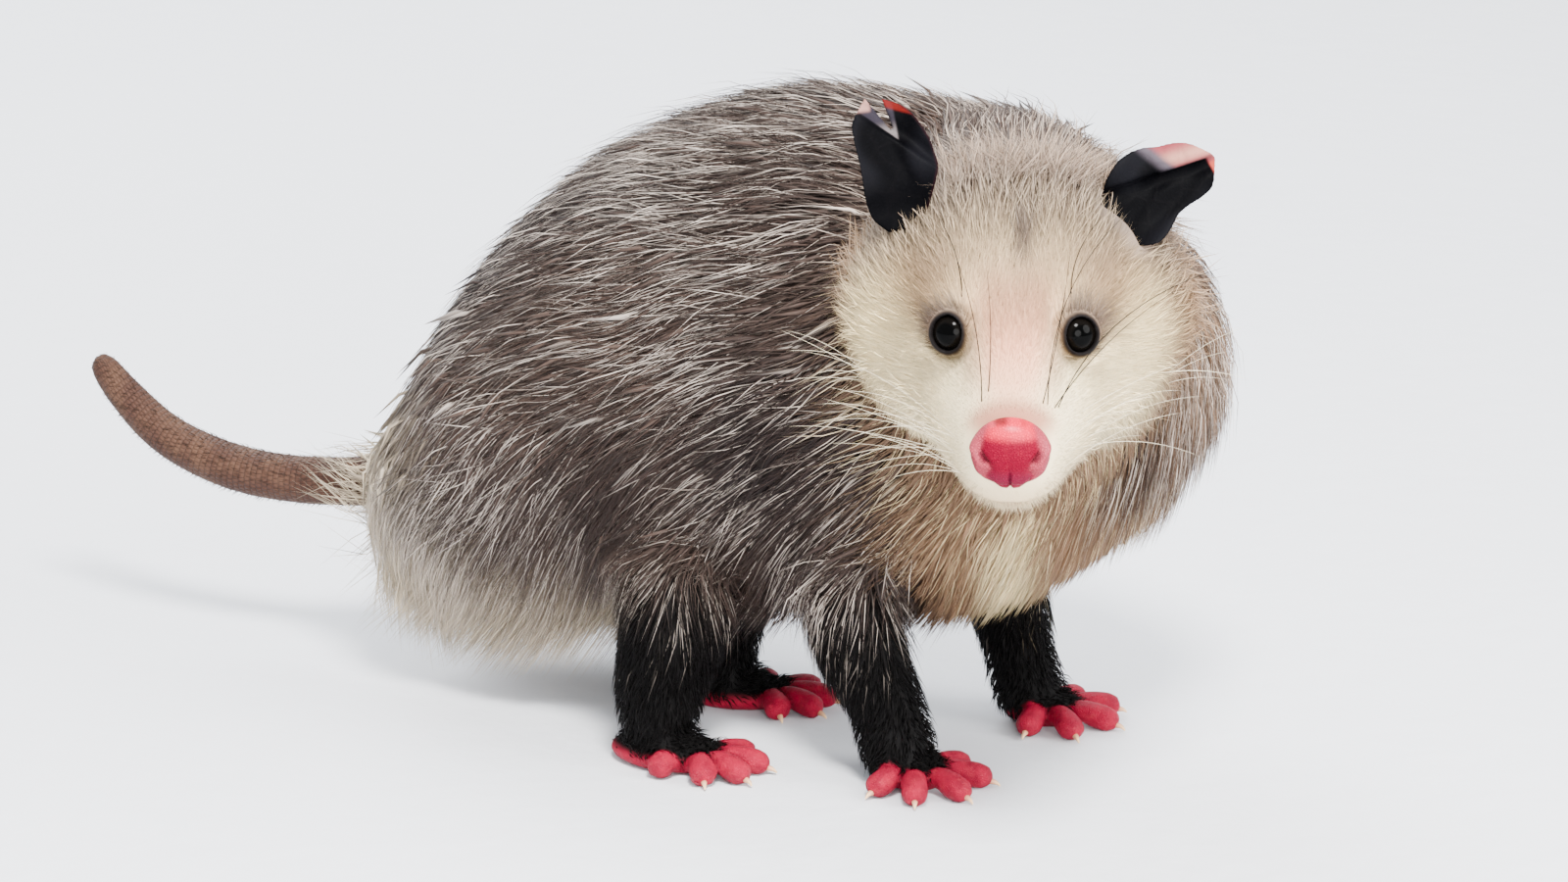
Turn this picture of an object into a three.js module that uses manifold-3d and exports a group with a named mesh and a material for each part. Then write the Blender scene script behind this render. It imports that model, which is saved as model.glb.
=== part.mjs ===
// A Virginia opossum as a still, life-size museum model. It stands on four feet and looks to its right.
// Millimetres, +Z up. The body faces -Y and its left side is +X.
// The origin is on the floor under the middle of the whole animal.
import * as THREE from "three";
import { mergeVertices } from "three/addons/utils/BufferGeometryUtils.js";
import Module from "manifold-3d";

const wasm = await Module();
wasm.setup();

// Clearances, in millimetres
const GAP = 0.3; // between neighbouring parts
const WELD = 0.02; // edges shorter than this are closed up when solids are joined

// Head: a straight axis from the nose tip back to the nape
const NOSE_TIP = new THREE.Vector3(-141, -87, 138);
const HEAD_TURN = 68; // degrees from straight ahead, to its right
const HEAD_DROP = 13; // degrees that the snout points down
const EYE = { behind: 52, side: 17.6, over: 13.6, radius: 6.7 };
const LID = { thick: 1.3, wide: 6.2, high: 5.9 };
const NOSTRIL = { behind: 1.5, side: 7.6, over: -2, wide: 3.2, high: 2.1 };

// Feet
const SOLE_SINK = 0.8; // how far pads are pressed to make their flats
const TOE_RADIUS = 4;
const CLAW = { radius: 1.4, length: 6 };
const HEM = 2; // clearance of the leg fur above the floor

const radians = THREE.MathUtils.degToRad;
const vector = (x, y, z) => new THREE.Vector3(x, y, z);

// A closed surface as a solid: vertices shared, collapsed faces dropped, faces turned outwards.
function solid(geometry) {
  const bare = geometry.index ? geometry.toNonIndexed() : geometry.clone();
  bare.deleteAttribute("normal");
  bare.deleteAttribute("uv");
  const merged = mergeVertices(bare, 1e-3);
  const points = merged.attributes.position;
  const corners = [vector(), vector(), vector()];
  const faces = [];
  let volume = 0;
  for (let i = 0; i < merged.index.count; i += 3) {
    const [a, b, c] = [0, 1, 2].map((k) => merged.index.getX(i + k));
    if (a === b || b === c || a === c) continue;
    faces.push([a, b, c]);
    [a, b, c].forEach((v, k) => corners[k].fromBufferAttribute(points, v));
    volume += corners[0].dot(corners[1].clone().cross(corners[2]));
  }
  const outward = volume < 0 ? faces.map(([a, b, c]) => [a, c, b]) : faces;
  return new wasm.Manifold(
    new wasm.Mesh({
      numProp: 3,
      vertProperties: Float32Array.from(points.array),
      triVerts: Uint32Array.from(outward.flat()),
      tolerance: WELD,
    }),
  );
}

const join = (solids) => solids.reduce((whole, piece) => whole.add(piece));
const cut = (whole, cutters) =>
  cutters.reduce((left, cutter) => left.subtract(cutter), whole);
const largest = (whole) =>
  whole.decompose().reduce((a, b) => (a.volume() > b.volume() ? a : b));

// A rounded body along a smooth path. Each station has its centre and its half sizes:
// to the side, over and under. Its ends are rounded over a share of the path.
// With some drape, its lower half is fuller at the sides.
class Form {
  constructor({ stations, over, ends = [0.15, 0.15], drape = 0 }) {
    const curve = (points) =>
      new THREE.CatmullRomCurve3(points, false, "catmullrom", 0.5);
    this.path = curve(stations.map((s) => vector(...s.at)));
    this.sizes = curve(stations.map((s) => vector(s.side, s.over, s.under)));
    this.over = over;
    this.ends = ends;
    this.drape = drape;
  }

  // The outer surface at share t of the path and an angle round it, raised by a height.
  point(t, angle, height = 0) {
    const along = this.path.getTangent(t);
    const across = this.over.clone().cross(along).normalize();
    const over = along.clone().cross(across);
    const size = this.sizes.getPoint(t);
    const rise = Math.sin(angle);
    const turn = Math.cos(angle);
    const fall = 1 - this.drape * Math.max(0, -rise);
    const reach = Math.sign(turn) * Math.abs(turn) ** fall;
    const start = Math.max(0, 1 - t / this.ends[0]);
    const end = Math.max(0, 1 - (1 - t) / this.ends[1]);
    const axial = Math.min(1, start + end);
    const radial = Math.sqrt(1 - axial * axial);
    return this.path
      .getPoint(t)
      .addScaledVector(across, reach * radial * (size.x + height))
      .addScaledVector(over, rise * radial * ((rise > 0 ? size.y : size.z) + height))
      .addScaledVector(along, height * (end - start));
  }

  // The share and angle reached by going some way over the surface in a direction.
  slide([t, angle], direction, length) {
    const step = 0.01;
    const here = this.point(t, angle);
    const along = this.point(t + step, angle).sub(here).divideScalar(step);
    const round = this.point(t, angle + step).sub(here).divideScalar(step);
    const normal = along.clone().cross(round).normalize();
    const way = direction.clone().projectOnPlane(normal).setLength(length);
    const mixed = along.dot(round);
    const area = along.lengthSq() * round.lengthSq() - mixed * mixed;
    const forward = way.dot(along) * round.lengthSq() - way.dot(round) * mixed;
    const sideways = way.dot(round) * along.lengthSq() - way.dot(along) * mixed;
    return [
      THREE.MathUtils.clamp(t + forward / area, 0.006, 0.994),
      angle + sideways / area,
    ];
  }

  // The length once round the surface at share t.
  girth(t) {
    const ring = new THREE.CatmullRomCurve3(
      Array.from({ length: 12 }, (_, i) => this.point(t, (i * Math.PI) / 6)),
      true,
    );
    return ring.getLength();
  }

  // The whole surface as a solid, with so many sides round and steps along.
  solid(sides, steps, height = 0, shape = (p) => p) {
    const ball = new THREE.SphereGeometry(1, sides, steps);
    const { position, uv } = ball.attributes;
    for (let i = 0; i < position.count; i++) {
      const pole = 1 - uv.getY(i);
      const t = (1 - Math.cos(Math.PI * pole)) / 2;
      const p = shape(this.point(t, 2 * Math.PI * uv.getX(i), height));
      position.setXYZ(i, p.x, p.y, p.z);
    }
    return solid(ball);
  }
}

// A ball, squashed and turned as asked.
function ball(centre, radii, turn = new THREE.Quaternion(), sides = 14) {
  const geometry = new THREE.SphereGeometry(1, sides, Math.round(sides * 0.7));
  geometry.applyMatrix4(new THREE.Matrix4().compose(centre, turn, radii));
  return solid(geometry);
}

// Head frame: ahead along the snout, side towards its left, over towards the crown
const ahead = vector(0, -1, 0)
  .applyAxisAngle(vector(1, 0, 0), radians(HEAD_DROP))
  .applyAxisAngle(vector(0, 0, 1), -radians(HEAD_TURN));
const headSide = vector(0, 0, 1).cross(ahead).negate().normalize();
const headOver = headSide.clone().cross(ahead).normalize();
if (headOver.z < 0) headOver.negate();
headSide.copy(headOver).cross(ahead).normalize();
const headTurn = new THREE.Quaternion().setFromRotationMatrix(
  new THREE.Matrix4().makeBasis(headSide, ahead, headOver),
);

// A point of the head, by its distance behind the nose tip, to the left side and over the axis.
const headPoint = (behind, side, over) =>
  NOSE_TIP.clone()
    .addScaledVector(ahead, -behind)
    .addScaledVector(headSide, side)
    .addScaledVector(headOver, over);

const headStation = ([behind, side, over, under]) => ({
  at: headPoint(behind, 0, 0).toArray(),
  side,
  over,
  under,
});

// Skull, flesh and short fur together: behind the nose tip, half width, height over, depth under
const head = new Form({
  over: headOver,
  ends: [0.06, 0.2],
  stations: [
    [3, 9, 7, 14],
    [7, 11.4, 9, 20.5],
    [12, 13.4, 10.4, 22.6],
    [19, 15.2, 12, 23.4],
    [29, 18.4, 15, 24],
    [40, 23, 19.8, 25],
    [50, 28, 25, 27],
    [60, 37, 31, 30],
    [72, 48, 38, 34],
    [86, 52, 43, 35],
    [99, 47, 43, 33],
    [111, 36, 36, 26],
    [121, 20, 23, 18],
  ].map(headStation),
});

// Swellings and hollows of the face: place, reach and push, mirrored for the other side
const FACE_MARKS = [
  { at: [20, 11, -4], reach: 9, push: 1.4 }, // whisker pad
  { at: [45, 18, 9], reach: 8, push: -3 }, // hollow before the eye
  { at: [58, 21, 23], reach: 9, push: 1.6 }, // brow
  { at: [30, 14, 8], reach: 9, push: -1.3 }, // side of the bridge
  { at: [66, 33, -16], reach: 16, push: 2.5 }, // jaw muscle
];

function shapeFace(p) {
  const moved = p.clone();
  for (const { at, reach, push } of FACE_MARKS)
    for (const hand of [1, -1]) {
      const centre = headPoint(at[0], hand * at[1], at[2]);
      const axis = headPoint(at[0] + 6, 0, 0);
      const away = centre.clone().sub(axis).normalize();
      const share = Math.exp(-p.distanceToSquared(centre) / (reach * reach));
      moved.addScaledVector(away, push * share);
    }
  return moved;
}

const eyeCentre = (hand) => headPoint(EYE.behind, hand * EYE.side, EYE.over);
const gaze = (hand) =>
  ahead.clone().multiplyScalar(0.8).addScaledVector(headSide, hand * 0.5)
    .addScaledVector(headOver, 0.33).normalize();

// A tube along a gaze, as wide and high as the slit between the lids.
function lidOpening(hand) {
  const tube = new THREE.CylinderGeometry(1, 1, 1, 14);
  tube.translate(0, 0.5, 0);
  const along = gaze(hand);
  const across = headOver.clone().cross(along).normalize();
  const up = along.clone().cross(across);
  tube.applyMatrix4(
    new THREE.Matrix4()
      .makeBasis(
        across.multiplyScalar(LID.wide),
        along.multiplyScalar(20),
        up.multiplyScalar(LID.high),
      )
      .setPosition(eyeCentre(hand)),
  );
  return solid(tube);
}

// The nose pad, bare and wide, with a nostril at each side
const nose = new Form({
  over: headOver,
  ends: [0.45, 0.3],
  stations: [
    [-2.5, 9, 6.5, 7.5],
    [1, 10.8, 8.2, 9.6],
    [5, 11.4, 9.2, 10.4],
    [9.5, 10.5, 8.6, 9.8],
  ].map(headStation),
});

const nostrils = [1, -1].map((hand) =>
  ball(
    headPoint(NOSTRIL.behind - 3, hand * NOSTRIL.side, NOSTRIL.over),
    vector(NOSTRIL.wide, 5, NOSTRIL.high),
    headTurn.clone().multiply(
      new THREE.Quaternion().setFromAxisAngle(vector(0, 1, 0), hand * -0.5),
    ),
    8,
  ),
);

// The lower jaw is what lies below the line of the mouth, seen from the side.
function belowMouth(clearance) {
  const outline = new THREE.Shape();
  const line = [
    [-8, -17.4],
    [6, -18.2],
    [22, -17.6],
    [36, -16.4],
    [46, -14.4],
    [51, -13],
  ];
  outline.moveTo(line[0][0], -45);
  line.forEach(([behind, over]) =>
    outline.lineTo(behind + clearance * 0.5, over + clearance),
  );
  outline.lineTo(57 + clearance, -16);
  outline.lineTo(66 + clearance, -45);
  const block = new THREE.ExtrudeGeometry(outline, {
    depth: 90,
    bevelEnabled: false,
  });
  block.translate(0, 0, -45);
  block.applyMatrix4(
    new THREE.Matrix4()
      .makeBasis(ahead.clone().negate(), headOver, headSide)
      .setPosition(NOSE_TIP),
  );
  return solid(block);
}

// Ears: thin cupped leaves, one cocked outwards more than the other
const EARS = {
  left: {
    base: [90, 28.5, 30],
    rise: [-0.25, 0.72, 0.62],
    face: [0.9, 0.25, -0.1],
    length: 42,
    width: 27,
    notch: { across: -0.42, deep: 0.24, wide: 5 },
  },
  right: {
    base: [86, -30.5, 35],
    rise: [-0.3, -0.22, 0.95],
    face: [0.92, -0.3, 0.25],
    length: 42,
    width: 27,
    notch: { across: 0.05, deep: 0.4, wide: 5.5 },
  },
};
const EAR_THICK = 1.1;
const EAR_CUP = 7.5;
const EAR_FOLD = 9;

const inHead = ([forward, side, over]) =>
  ahead.clone().multiplyScalar(forward).addScaledVector(headSide, side)
    .addScaledVector(headOver, over).normalize();

// The directions of an ear: up to its tip, across it and out of its cup.
function earAxes({ rise, face }) {
  const up = inHead(rise);
  const across = up.clone().cross(inHead(face)).normalize();
  const front = across.clone().cross(up).normalize();
  return { up, across, front };
}

function ear(shape, grow = 0) {
  const { base, length, width } = shape;
  const { up, across, front } = earAxes(shape);
  const root = headPoint(...base);
  const leaf = new THREE.SphereGeometry(1, 14, 9);
  const { position } = leaf.attributes;
  for (let i = 0; i < position.count; i++) {
    const [x, y, z] = [position.getX(i), position.getY(i), position.getZ(i)];
    const share = (y + 1) / 2;
    const spread = 0.62 + 0.38 * Math.sin(Math.PI * Math.min(1, share * 0.85 + 0.1));
    const wide = x * (width / 2 + grow) * spread;
    const cup = EAR_CUP * (1.5 - share) * (wide / (width / 2)) ** 2;
    const fold = EAR_FOLD * Math.max(0, share - 0.62) ** 2 * 2.2;
    const p = root
      .clone()
      .addScaledVector(up, length * (share - 0.12) + grow * y)
      .addScaledVector(across, wide)
      .addScaledVector(front, cup + fold + z * (EAR_THICK * (1.9 - share) + grow));
    position.setXYZ(i, p.x, p.y, p.z);
  }
  return solid(leaf);
}

const UP = vector(0, 0, 1);
const FORWARD = vector(0, -1, 0);
const station = ([x, y, z, side, over, under = over]) => ({
  at: [x, y, z],
  side,
  over,
  under,
});

// A torn notch in the rim of an ear, as frost leaves it
function earNotch(shape) {
  const { base, length, width, notch } = shape;
  const { up, across, front } = earAxes(shape);
  const tear = new THREE.Shape();
  const at = (notch.across * width) / 2;
  const top = length * 1.1;
  tear.moveTo(at, length * (0.88 - notch.deep));
  tear.lineTo(at + notch.wide, top);
  tear.lineTo(at - notch.wide * 0.3, top);
  const blade = new THREE.ExtrudeGeometry(tear, { depth: 60, bevelEnabled: false });
  blade.translate(0, 0, -30);
  blade.applyMatrix4(
    new THREE.Matrix4().makeBasis(across, up, front).setPosition(headPoint(...base)),
  );
  return solid(blade);
}

// Neck and ruff, bending from the shoulders round to the back of the head
const neck = new Form({
  over: UP,
  ends: [0.12, 0.3],
  stations: [
    [6, -6, 122, 50, 76, 60],
    [-4, -24, 132, 53, 80, 58],
    [-22, -39, 144, 53, 74, 54],
    [-40, -49, 154, 50, 62, 48],
    [-55, -56, 160, 44, 46, 42],
  ].map(station),
});

// Trunk from the rump to the breast: long hair drapes its lower flanks
const torso = new Form({
  over: UP,
  ends: [0.14, 0.16],
  drape: 0.7,
  stations: [
    [-4, 195, 59, 22, 11, 22],
    [-4, 180, 67, 44, 21, 36],
    [-2, 158, 78, 59, 38, 48],
    [1, 132, 92, 69, 56, 60],
    [4, 102, 106, 74, 70, 70],
    [5, 72, 117, 75, 78, 74],
    [6, 40, 124, 73, 81, 78],
    [6, 10, 127, 69, 79, 78],
    [8, -18, 125, 65, 75, 76],
    [10, -44, 118, 58, 62, 70],
    [14, -71, 107, 51, 50, 58],
    [15, -93, 99, 39, 36, 42],
  ].map(station),
});

// Coat: the forms above are where its tips reach. Its core lies half way down to the skin.
const COAT = {
  core: 11, // below the tips
  root: 15.5, // below the tips, so sunk well into the core
  row: 31, // between rows of locks
  beside: 33, // between locks of a row
  length: 70,
  width: 33,
  thick: 7.5,
};
let seed = 7;
function random() {
  seed = (seed * 1664525 + 1013904223) % 4294967296;
  return seed / 4294967296;
}
const spread = (amount) => (random() - 0.5) * 2 * amount;
const share = (value, low, high) => THREE.MathUtils.smoothstep(value, low, high);

// Hair lies backwards, sinks towards the belly and hangs down over the rump.
function trunkLie(p) {
  const low = share(118 - p.z, -20, 60);
  const rump = share(p.y, 90, 180);
  const breast = share(-p.y, 25, 70);
  return vector(
    (p.x / 110) * (low + rump),
    1 - 0.3 * low - 0.4 * rump - 0.5 * breast,
    -0.16 - 0.75 * low - 0.95 * rump - 0.9 * breast,
  );
}
const RUFF_AXIS = vector(0.72, 0.5, -0.48);
const ruffLie = (p) => RUFF_AXIS.clone().setZ(-0.15 - 0.9 * share(150 - p.z, -25, 50));

// How far the longest hair hangs below the surface it grows on: most at the lower rump
const hang = (p) => (8 + 18 * share(p.y, 45, 95)) * share(112 - p.z, 0, 45);

// A flat lock with a ridge: it leaves the core, bends over and ends in a point.
function lock(form, from, lie, { length, width, thick }) {
  const start = form.point(...from);
  const half = form.slide(from, lie(start), length / 2);
  const middle = form.point(...half);
  const end = form.slide(half, lie(middle), length / 2);
  const drop = hang(start);
  const root = form.point(...from, -COAT.root);
  const bend = form.point(...half, -3 - thick / 3).addScaledVector(UP, -drop * 0.35);
  const tip = form.point(...end, spread(1.5)).addScaledVector(UP, -drop);
  const control = bend.clone().multiplyScalar(2).sub(root.clone().add(tip).multiplyScalar(0.5));
  const curve = new THREE.QuadraticBezierCurve3(root, control, tip);
  const outward = middle.clone().sub(form.point(...half, -5));
  const blade = new THREE.ConeGeometry(1, 1, 3, 3);
  const { position } = blade.attributes;
  for (let i = 0; i < position.count; i++) {
    const up = position.getY(i) + 0.5;
    const size = Math.max(1 - up, 1e-6);
    const wide = 0.62 + 1.5 * up - 2.12 * up * up;
    const along = curve.getTangent(up);
    const across = outward.clone().cross(along).normalize();
    const out = along.clone().cross(across);
    const p = curve
      .getPoint(up)
      .addScaledVector(across, ((position.getX(i) / size) * wide * width) / 2)
      .addScaledVector(out, ((position.getZ(i) / size) * wide * thick) / 1.5);
    position.setXYZ(i, p.x, p.y, p.z);
  }
  return solid(blade);
}

// Locks in staggered rows all over a form, but not where another part covers its roots.
function locks(form, lie, bare) {
  const rows = Math.round(form.path.getLength() / COAT.row);
  const grown = [];
  for (let row = 1; row < rows; row++) {
    const t = row / rows;
    const count = Math.round(form.girth(t) / COAT.beside);
    for (let i = 0; i < count; i++) {
      const angle = (2 * Math.PI * (i + 0.5 * (row % 2) + spread(0.16))) / count;
      const from = [t + spread(0.12) / rows, angle];
      const size = 1 + spread(0.14);
      if (bare(form.point(...from))) continue;
      grown.push(
        lock(form, from, lie, {
          length: COAT.length * size,
          width: COAT.width * size,
          thick: COAT.thick,
        }),
      );
    }
  }
  return grown;
}

// Legs: the upper end is buried in the coat of the torso
const LEGS = {
  foreleg_right: [
    [-26, 14, 98, 13],
    [-31, 15, 72, 14.5],
    [-40, 7, 44, 14.5],
    [-43, -4, 24, 12.5],
    [-44, -9, 10, 12.5],
    [-44, -12, 5, 12],
  ],
  foreleg_left: [
    [20, 2, 98, 13],
    [26, -2, 72, 14.5],
    [30, -12, 44, 13.5],
    [30, -17, 24, 11.8],
    [30, -21, 10, 12],
    [30, -23, 5, 12],
  ],
  hindleg_right: [
    [-28, 88, 92, 15],
    [-36, 74, 68, 16.5],
    [-49, 65, 43, 17],
    [-56, 66, 23, 14.5],
    [-58, 64, 10, 12.5],
    [-58.5, 56, 7.5, 11],
  ],
  hindleg_left: [
    [24, 92, 92, 15],
    [21, 80, 68, 16.5],
    [12, 74, 43, 16.5],
    [7, 76, 23, 14],
    [6, 74, 10, 12.5],
    [6.5, 65, 7.5, 11],
  ],
};
const leg = (name) =>
  new Form({
    over: FORWARD,
    ends: [0.2, 0.06],
    stations: LEGS[name].map(([x, y, z, radius]) =>
      station([x, y, z, radius, radius]),
    ),
  });

// Feet: where the palm lies, how far it points to the left of straight ahead, and its toes
const FORE_TOES = [
  { splay: -82, length: 17 },
  { splay: -40, length: 20 },
  { splay: 0, length: 21 },
  { splay: 38, length: 20 },
  { splay: 78, length: 16 },
];
const HIND_TOES = [
  { splay: -36, length: 16 },
  { splay: -13, length: 19 },
  { splay: 11, length: 19 },
  { splay: 34, length: 17 },
];
const HALLUX = { splay: 88, length: 17, clawless: true };
const FEET = {
  forefoot_right: { at: [-44, -14], point: -28, palm: [10, 12], toes: FORE_TOES, hand: -1 },
  forefoot_left: { at: [30, -26], point: 0, palm: [10, 12], toes: FORE_TOES, hand: 1 },
  hindfoot_right: { at: [-58, 63], point: -8, palm: [12, 20], toes: HIND_TOES, hand: -1 },
  hindfoot_left: { at: [6, 71], point: 4, palm: [12, 20], toes: HIND_TOES, hand: 1 },
};
const PALM_HIGH = 9;

function toe(foot, { splay, length, clawless }, reach, grow) {
  const turn = radians(foot.point + foot.hand * splay);
  const outward = FORWARD.clone().applyAxisAngle(UP, turn);
  const from = vector(foot.at[0], foot.at[1], 0).addScaledVector(
    FORWARD.clone().applyAxisAngle(UP, radians(foot.point)),
    reach,
  );
  const place = (out, high) => from.clone().addScaledVector(outward, out).setZ(high);
  const radius = TOE_RADIUS;
  const digit = new Form({
    over: UP,
    ends: [0.2, 0.25],
    stations: [
      [3, 5.4, 1.05],
      [length * 0.45, 6.6, 1],
      [length * 0.8, 4.4, 0.93],
      [length, 3, 0.78],
    ].map(([out, high, share]) =>
      station([...place(out, high).toArray(), radius * share, radius * share]),
    ),
  });
  const pieces = [digit.solid(6, 5, grow)];
  if (!clawless) {
    const claw = new THREE.ConeGeometry(CLAW.radius, CLAW.length, 4);
    const down = outward.clone().addScaledVector(UP, -0.28).normalize();
    claw.applyQuaternion(new THREE.Quaternion().setFromUnitVectors(UP.clone().set(0, 1, 0), down));
    const tip = place(length + CLAW.length * 0.3, 2.6);
    claw.translate(tip.x, tip.y, tip.z);
    pieces.push(solid(claw));
  }
  return pieces;
}

const floorBlock = solid(
  new THREE.BoxGeometry(1000, 1000, 100).translate(0, 0, -50),
);

// A foot, or with some growth the room it takes up.
function foot(name, grow = 0) {
  const shape = FEET[name];
  const hind = shape.toes === HIND_TOES;
  const turn = new THREE.Quaternion().setFromAxisAngle(UP, radians(shape.point));
  const palm = ball(
    vector(shape.at[0], shape.at[1], PALM_HIGH / 2 - SOLE_SINK),
    vector(shape.palm[0], shape.palm[1], PALM_HIGH / 2 + 1).addScalar(grow),
    turn,
    10,
  );
  const pieces = [palm];
  shape.toes.forEach((t) => pieces.push(...toe(shape, t, hind ? 14 : 1, grow)));
  if (hind) pieces.push(...toe(shape, HALLUX, 6, grow));
  const sunk = join(pieces).translate([0, 0, -SOLE_SINK]);
  return largest(sunk.subtract(floorBlock));
}

// Tail in three lengths: bare, round, blunt and held clear of the ground
const tail = new Form({
  over: UP,
  ends: [0.05, 0.05],
  stations: [
    [-4, 146, 72, 12, 12],
    [-4, 172, 65, 10, 10],
    [-5, 196, 60.5, 8.4, 8.4],
    [-5, 222, 58, 8, 8],
    [-5, 246, 59.5, 7.8, 7.8],
    [-5, 269, 67, 7.1, 7.1],
    [-4, 286, 79.5, 6, 6],
    [-4, 296, 91, 4.4, 4.4],
  ].map(station),
});

// A block that fills one side of a plane, set back from it by half the gap between parts.
function halfSpace(point, normal) {
  const block = new THREE.BoxGeometry(900, 900, 900);
  block.translate(0, 0, 450 + GAP / 2);
  const turn = new THREE.Quaternion().setFromUnitVectors(UP, normal);
  block.applyQuaternion(turn);
  block.translate(point.x, point.y, point.z);
  return solid(block);
}

// A solid parted by thin cuts across a line of planes: as many pieces as planes and one more.
function part(whole, planes) {
  const pieces = [];
  let rest = whole;
  for (const [point, normal] of planes) {
    pieces.push(largest(rest.intersect(halfSpace(point, normal.clone().negate()))));
    rest = rest.intersect(halfSpace(point, normal));
  }
  return [...pieces, largest(rest)];
}

// Materials, named for the finish of each kind of part
const finish = (color, roughness) =>
  new THREE.MeshStandardMaterial({ color, roughness, metalness: 0 });
const FINISH = {
  coat: finish(0x8f867c, 0.9),
  face: finish(0xe6dac8, 0.85),
  ear: finish(0x25272b, 0.55),
  eye: finish(0x060607, 0.08),
  nose: finish(0xee6a86, 0.4),
  leg: finish(0x17161a, 0.9),
  foot: finish(0xe0486a, 0.5),
  tail: finish(0x9b7a62, 0.7),
};

const animal = new THREE.Group();
function add(name, shape, material) {
  const { vertProperties, numProp, numVert, triVerts } = shape.getMesh();
  const positions = new Float32Array(numVert * 3);
  for (let i = 0; i < numVert; i++)
    positions.set(vertProperties.subarray(i * numProp, i * numProp + 3), i * 3);
  const geometry = new THREE.BufferGeometry();
  geometry.setAttribute("position", new THREE.BufferAttribute(positions, 3));
  geometry.setIndex(new THREE.BufferAttribute(triVerts, 1));
  const mesh = new THREE.Mesh(geometry, material);
  mesh.name = name;
  animal.add(mesh);
}

// Eyes and lids
const HANDS = { left: 1, right: -1 };
const eyes = {};
const sockets = [];
const lids = [];
for (const [side, hand] of Object.entries(HANDS)) {
  const round = (grow) =>
    ball(eyeCentre(hand), vector(1, 1, 1).multiplyScalar(EYE.radius + grow), headTurn, 12);
  eyes[side] = round(0);
  sockets.push(round(GAP), lidOpening(hand));
  lids.push(round(LID.thick));
}

const skull = head.solid(24, 18, 0, shapeFace);
const nosePad = cut(nose.solid(14, 8), nostrils);
const noseRoom = nose.solid(14, 8, GAP);
const earSolids = {
  left: largest(cut(ear(EARS.left), [earNotch(EARS.left)])),
  right: largest(cut(ear(EARS.right), [earNotch(EARS.right)])),
};
const earRooms = [ear(EARS.left, GAP), ear(EARS.right, GAP)];
const wholeHead = cut(join([skull, ...lids]), [...sockets, noseRoom]);
const jaw = largest(
  cut(head.solid(24, 18, -0.4, shapeFace).intersect(belowMouth(0)), [noseRoom]),
);
const upperHead = largest(cut(wholeHead, [belowMouth(GAP), ...earRooms]));

add("head", upperHead, FINISH.face);
add("lower_jaw", jaw, FINISH.face);
add("nose", largest(nosePad), FINISH.nose);
for (const side of Object.keys(HANDS)) {
  add("eye_" + side, eyes[side], FINISH.eye);
  add("ear_" + side, earSolids[side], FINISH.ear);
}

// Trunk and neck are one coat, parted where the ruff begins
const NECK_CUT = {
  point: vector(-14, -36, 140),
  normal: vector(-0.82, -0.52, 0.25).normalize(),
};
const headRoom = head.solid(24, 18, GAP, shapeFace);
const legRooms = Object.keys(LEGS).map((name) => leg(name).solid(12, 9, GAP));
const tailRoom = tail.solid(10, 18, GAP);

// Places without locks: where the head or neck covers them, and the thinly haired belly
const underHead = (p) => p.distanceTo(headPoint(88, 0, 2)) < 46;
const underNeck = (p) => p.y < -50 && p.z > 155;
const onBelly = (p) => p.z < 50 && p.y > -40 && p.y < 88;
const hidden = (p) => underHead(p) || underNeck(p) || onBelly(p);
const tufts = [...locks(torso, trunkLie, hidden), ...locks(neck, ruffLie, underHead)];
const cores = [torso.solid(14, 11, -COAT.core), neck.solid(14, 7, -COAT.core)];
const coat = cut(join([...cores, ...tufts]), [
  floorBlock,
  headRoom,
  ...earRooms,
  ...legRooms,
  tailRoom,
]);
const [trunk, ruff] = part(coat, [[NECK_CUT.point, NECK_CUT.normal]]);
add("torso", trunk, FINISH.coat);
add("neck", ruff, FINISH.coat);

for (const name of Object.keys(LEGS)) {
  const footName = name.replace("leg", "foot");
  const footSolid = foot(footName);
  const limb = leg(name).solid(12, 9);
  add(footName, footSolid, FINISH.foot);
  const room = [foot(footName, GAP), floorBlock.translate([0, 0, HEM])];
  add(name, largest(cut(limb, room)), FINISH.leg);
}

const TAIL_CUTS = [214, 258].map((back) => [vector(0, back, 0), vector(0, 1, 0)]);
const tailPieces = part(tail.solid(10, 18), TAIL_CUTS);
["tail_root", "tail_middle", "tail_tip"].forEach((name, i) =>
  add(name, tailPieces[i], FINISH.tail),
);

// Stand the animal over the origin
const box = new THREE.Box3().setFromObject(animal);
animal.position.set(
  -(box.min.x + box.max.x) / 2,
  -(box.min.y + box.max.y) / 2,
  -box.min.z,
);

export default animal;
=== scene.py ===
"""A still, life-size Virginia opossum for a museum shelf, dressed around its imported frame.

Shapes are worked out in millimetres in the animal's own frame: the body faces -Y, its left
side is +X and the floor is z = 0. They become metres in the frame's place as they are made.
"""
import math

import bmesh
import bpy
import numpy as np
from mathutils import Matrix, Vector
from mathutils.bvhtree import BVHTree
from mathutils.kdtree import KDTree


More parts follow.
